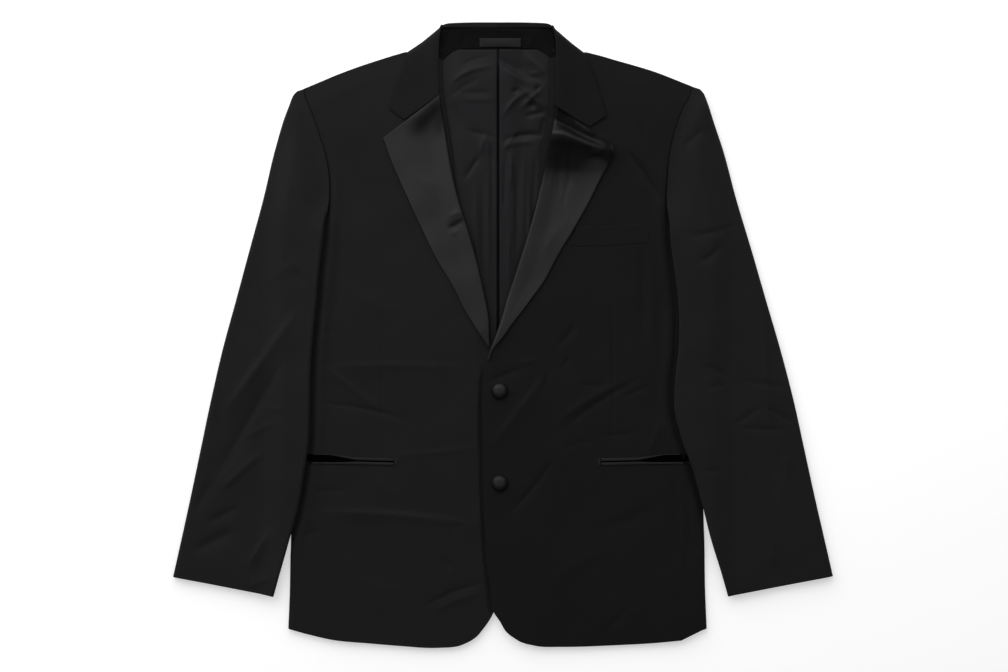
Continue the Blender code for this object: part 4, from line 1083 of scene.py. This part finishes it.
for side in SIDES:
    make_sleeve(side)
print("sleeves done:", len(made), "pieces")

# %% [markdown]
# ## Pockets and buttons
# The hip pockets have two narrow satin jets and no flap, as on evening clothes. The jets part towards the
# outer end, where a near-black sheet of pocketing shows between them as painted shadow of the opening, and a
# short bar holds their inner ends. The breast pocket has a wool welt. The two buttons are domes covered in
# satin, and the end of the upper buttonhole shows past its button.

# %% Pockets
WELT_SLANT = 10.0
JET_ROUND = 0.25            # the jets are turned edges, so they are rounded
JET_SPACING = 2.0
POCKET_LINES = table(
    "share upper_top upper_low lower_top lower_low", (0, 0, -3.4, -5.2, -9.0), (0.38, 0, -3.4, -5.2, -9.0),
    (0.5, 1.4, -0.6, -6.2, -9.0), (0.64, 3.2, 2.4, -6.8, -9.2), (1, 3.6, 2.8, -6.8, -9.2))
MOUTH_SINK = 0.8
POCKET_END = {"gap": 1.6, "wide": 2.6, "above": 0.4, "long": 9.8}   # the bar that holds the jets' ends


def make_pocket(side):
    """Two jets, which part towards the pocket's outer end, and the mouth between them: a near-black sheet,
    painted shadow of the opening.
    """
    shares = evenly("pocket", JET_SPACING)
    inner, outer = [np.array([POCKET[f"{end}_out"], POCKET[f"{end}_up"]]) for end in ("inner", "outer")]
    line = inner + shares[:, None] * (outer - inner)
    lines = {name: line + np.column_stack([0 * shares, np.interp(shares, POCKET_LINES["share"], column)])
             for name, column in POCKET_LINES.items()}

    def strip(name, top, low, material, lift, rounded):
        rows = []
        for share in evenly("strip across"):
            flat = lines[top] + share * (lines[low] - lines[top])
            height = front_top(side, *flat.T) + lift + rounded * math.sin(math.pi * share)
            rows.append(lifted(flat, height))
        return cloth(name, side, np.array(rows), JET_WALL, material, rim=0.3)

    for name in ("upper", "lower"):
        strip(f"pocket_jet_{name}_{side}_satin", name + "_top", name + "_low", jet_satin,
              SEAM + JET_WALL, JET_ROUND)
    # the mouth: a near-black sheet standing for the opening's shadow
    strip(f"pocket_mouth_{side}_cloth", "upper_low", "lower_top", pocketing_painted_shadow, SEAM + JET_WALL, -MOUTH_SINK)
    across, down = np.meshgrid(evenly("bar across"), evenly("bar"))
    out = POCKET["inner_out"] - POCKET_END["gap"] - POCKET_END["wide"] * across
    up = POCKET["inner_up"] + POCKET_END["above"] - POCKET_END["long"] * down
    grid = np.stack([out, up, front_top(side, out, up) + SEAM + JET_WALL], -1)
    cloth(f"pocket_end_{side}_satin", side, grid, JET_WALL, jet_satin, rim=0.3)


def make_welt():
    shares = evenly("welt")
    low, high = [along(np.column_stack([WELT["out"], WELT[name]]), shares) for name in ("low", "high")]
    rows = []
    for share in evenly("welt across"):
        line = low + share * (high - low)
        line[:, 0] += WELT_SLANT * share * (1 - shares)
        rows.append(lifted(line, front_top("left", *line.T) + SEAM + WELT_WALL - WELT_SINK))
    cloth("breast_welt_wool", "left", np.array(rows), WELT_WALL, wool_painted_shade, rim=0.5)


for side in SIDES:
    make_pocket(side)
make_welt()

# %% Buttons
BUTTON = {"radius": 10.7, "rim": 1.3, "out": 2.6, "corners": 66, "gathers": 22, "gather": 0.16, "fade": 6}
BUTTON_DOME = table("inset rise", (0.8, 2.2), (1.6, 2.0), (2.4, 1.4), (2.7, 0.6))
BUTTON_UPS = {"upper": -72.0, "lower": -189.5}
LEVEL_FACE = 0.9            # a face whose normal is more upright than this lies level


def select_faces(piece, chosen):
    """Leave edit mode's selection on the faces that a test of a polygon picks."""
    for part in (piece.data.vertices, piece.data.edges):
        part.foreach_set("select", [False] * len(part))
    for face in piece.data.polygons:
        face.select = bool(chosen(face))


def make_button(name, up):
    """A low drum whose top is drawn in and up, ring by ring, to a dome, with gathers at its rim."""
    base = float(front_top("left", np.array(BUTTON["out"]), np.array(up))) + SEAM
    bpy.ops.object.select_all(action="DESELECT")
    middle = Vector(((CENTRE + BUTTON["out"]) * MM, up * MM, (base + BUTTON["rim"] / 2) * MM))
    bpy.ops.mesh.primitive_cylinder_add(vertices=BUTTON["corners"], radius=BUTTON["radius"] * MM,
                                        depth=BUTTON["rim"] * MM, location=middle)
    button = bpy.context.active_object
    button.name = button.data.name = f"button_{name}_satin"
    select_faces(button, lambda face: face.normal.z > LEVEL_FACE)
    bpy.ops.object.mode_set(mode="EDIT")
    for inset, rise in zip(BUTTON_DOME["inset"], BUTTON_DOME["rise"]):
        bpy.ops.mesh.inset(thickness=inset * MM)
        bpy.ops.transform.translate(value=(0, 0, rise * MM))
    bpy.ops.mesh.poke()
    bpy.ops.object.mode_set(mode="OBJECT")
    select_faces(button, lambda face: face.normal.z < -LEVEL_FACE)
    bpy.ops.object.mode_set(mode="EDIT")
    bpy.ops.mesh.inset(thickness=BUTTON["rim"] * MM)
    bpy.ops.mesh.poke()
    bpy.ops.object.mode_set(mode="OBJECT")
    soft = button.modifiers.new("soft", "SUBSURF")
    soft.levels = soft.render_levels = 2
    bpy.ops.object.modifier_apply(modifier="soft")
    for point in button.data.vertices:
        round_at = math.atan2(point.co.y, point.co.x)
        far = math.hypot(point.co.x, point.co.y) / (BUTTON["radius"] * MM)
        gather = BUTTON["gather"] / BUTTON["radius"] * far ** BUTTON["fade"]
        ripple = 1 + gather * math.sin(BUTTON["gathers"] * round_at)
        point.co.x *= ripple
        point.co.y *= ripple
    bpy.ops.object.transform_apply(location=True, rotation=True, scale=True)
    bpy.ops.object.shade_smooth()
    button.data.materials.append(button_satin)
    return button


# %% Buttonhole
HOLE = {"from": 14.5, "to": 27.5, "up": -74.0, "wide": 2.7, "cord": 0.55, "steps": 48, "corners": 10}


def make_buttonhole():
    """The stitched end of the upper buttonhole, which shows past the button: a long ring of cord."""
    middle = (HOLE["from"] + HOLE["to"]) / 2
    top = float(front_top("left", np.array(middle), np.array(HOLE["up"])))
    bpy.ops.object.select_all(action="DESELECT")
    bpy.ops.mesh.primitive_torus_add(major_segments=HOLE["steps"], minor_segments=HOLE["corners"],
                                     major_radius=HOLE["wide"] / 2 * MM, minor_radius=HOLE["cord"] * MM,
                                     location=((CENTRE + middle) * MM, HOLE["up"] * MM, top * MM))
    hole = bpy.context.active_object
    hole.name = hole.data.name = "buttonhole_upper_cord"
    stretch = (HOLE["to"] - HOLE["from"] - HOLE["wide"]) / 2 * MM
    for point in hole.data.vertices:
        point.co.x += stretch * (1 if point.co.x > 0 else -1)
    bpy.ops.object.transform_apply(location=True, rotation=True, scale=True)
    for point in hole.data.vertices:
        out = point.co.x / MM - CENTRE
        point.co.z += (front_top("left", np.array(out), np.array(point.co.y / MM)) - top) * MM
    bpy.ops.object.shade_smooth()
    hole.data.materials.append(wool_painted_shade)
    return hole


buttonhole = make_buttonhole()
buttons = {name: make_button(name, up) for name, up in BUTTON_UPS.items()}
print("buttons:", list(buttons))

# %% [markdown]
# ## What stands for what
# Each sheet hides the solid it was made for and rides on the jacket's one body.

SLOT_AND_REST = {           # a sheet's name is its solid's, with the cloth's added
    "back_{}_cloth": ("wool", "floor"),
    "side_{}_cloth": ("wool", "back_{}_cloth"),
    "front_{}_cloth": ("wool", "back_{}_cloth"),
    "lapel_{}_satin": ("satin", "front_{}_cloth"),
    "collar_{}_wool": ("wool", "front_{}_cloth"),
    "lining_{}_cloth": ("lining", "back_{}_cloth"),
    "top_sleeve_{}_cloth": ("wool", "side_{}_cloth"),
    "under_sleeve_{}_cloth": ("wool", "floor"),
    "collar_stand_wool": ("wool", "lining_left_cloth"),
    "breast_welt_wool": ("wool", "front_left_cloth"),
    "neck_tab_ribbon": ("satin", "collar_stand_wool"),
    "pocket_jet_upper_{}_satin": ("satin", "front_{}_cloth"),
    "pocket_jet_lower_{}_satin": ("satin", "front_{}_cloth"),
}
NARROW = 0.012              # a strip narrower than this, in metres, is no sheet
FLOOR_ACROSS = 12           # in metres too
bpy.ops.object.select_all(action="DESELECT")
bpy.ops.mesh.primitive_plane_add(size=FLOOR_ACROSS)
floor = bpy.context.active_object
floor.name = "floor"

for pattern, (slot, below) in SLOT_AND_REST.items():
    for side in (SIDES if "{}" in pattern else ("",)):
        piece, width, length, area = made[pattern.format(side)]
        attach(piece, "root")
        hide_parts(pattern.format(side).rpartition("_")[0])
        if min(width, length) < NARROW:
            continue
for name, button in buttons.items():
    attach(button, "root")
    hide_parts(f"button_{name}")
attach(buttonhole, "root")
for side in SIDES:
    for name, slot in (("pocket_mouth_{}_cloth", "lining"), ("pocket_end_{}_satin", "satin")):
        piece = made[name.format(side)][0]
        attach(piece, "root")

# %% [markdown]
# ## Floor, light and camera
# A pale floor, two broad soft lights from beyond the collar and a soft sky, brightest overhead. The camera
# looks straight down.

# %% Floor and light
FLOOR = {"colour": 0.76, "glow": 0.42}   # the glow is seen by the camera alone and lights nothing
floor_finish = Finish("pale floor", Base_Color=(*[FLOOR["colour"]] * 3, 1), Roughness=0.9,
                      Specular_IOR_Level=0.0, Emission_Strength=1.0)
seen = floor_finish.node("ShaderNodeLightPath", output="Is Camera Ray")
floor_finish.give(Emission_Color=floor_finish.mix(seen, (0, 0, 0), [FLOOR["glow"]] * 3))
floor.data.materials.append(floor_finish.material)

SKY = {"overhead": 0.80, "around": 0.10, "narrow": 6}     # brightest straight above, dim at its rim
world = bpy.data.worlds.new("soft sky")
bpy.context.scene.world = world
world.use_nodes = True
sky = Nodes(world.node_tree)
background = sky.nodes["Background"]
background.inputs["Color"].default_value = (1, 1, 1, 1)
above = sky.node("ShaderNodeSeparateXYZ", None, {0: sky.node("ShaderNodeTexCoord", output="Generated")}, "Z")
brightness = above.sum("MAXIMUM", 0).sum("POWER", SKY["narrow"])
brightness = brightness.sum("MULTIPLY_ADD", SKY["overhead"], SKY["around"])
direct, through = [sky.node("ShaderNodeLightPath", output=f"Is {ray} Ray")
                   for ray in ("Camera", "Transmission")]
sky.set(background.inputs["Strength"],      # where the camera sees it, it is plain white
        sky.node("ShaderNodeMix", None, {0: direct.sum("MAXIMUM", through), 2: brightness, 3: 1.0}))

LIGHTS = table("azimuth elevation distance size watts", (38, 35, 2.3, 2.8, 54), (-28, 35, 2.5, 2.8, 26))
for azimuth, elevation, distance, size, watts in zip(*LIGHTS.values()):
    lamp = bpy.data.lights.new("softbox", "AREA")
    lamp.energy, lamp.size = watts, size
    box = bpy.data.objects.new("softbox", lamp)
    tilt, turn = math.radians(90 - elevation), math.radians(azimuth)
    box.rotation_euler = (-tilt, 0, turn)
    box.location = (-distance * math.sin(tilt) * math.sin(turn), distance * math.sin(tilt) * math.cos(turn),
                    distance * math.cos(tilt))
    bpy.context.scene.collection.objects.link(box)

# %% Camera
CAMERA = {"height": 2.6, "x": 0.0013, "y": -0.0019, "frame_width": 1.2895, "focus_height": 0.008}
sight = bpy.data.cameras.new("camera")
sight.lens = sight.sensor_width * (CAMERA["height"] - CAMERA["focus_height"]) / CAMERA["frame_width"]
camera = bpy.data.objects.new("camera", sight)
camera.location = (CAMERA["x"], CAMERA["y"], CAMERA["height"])
bpy.context.scene.collection.objects.link(camera)
bpy.context.scene.camera = camera
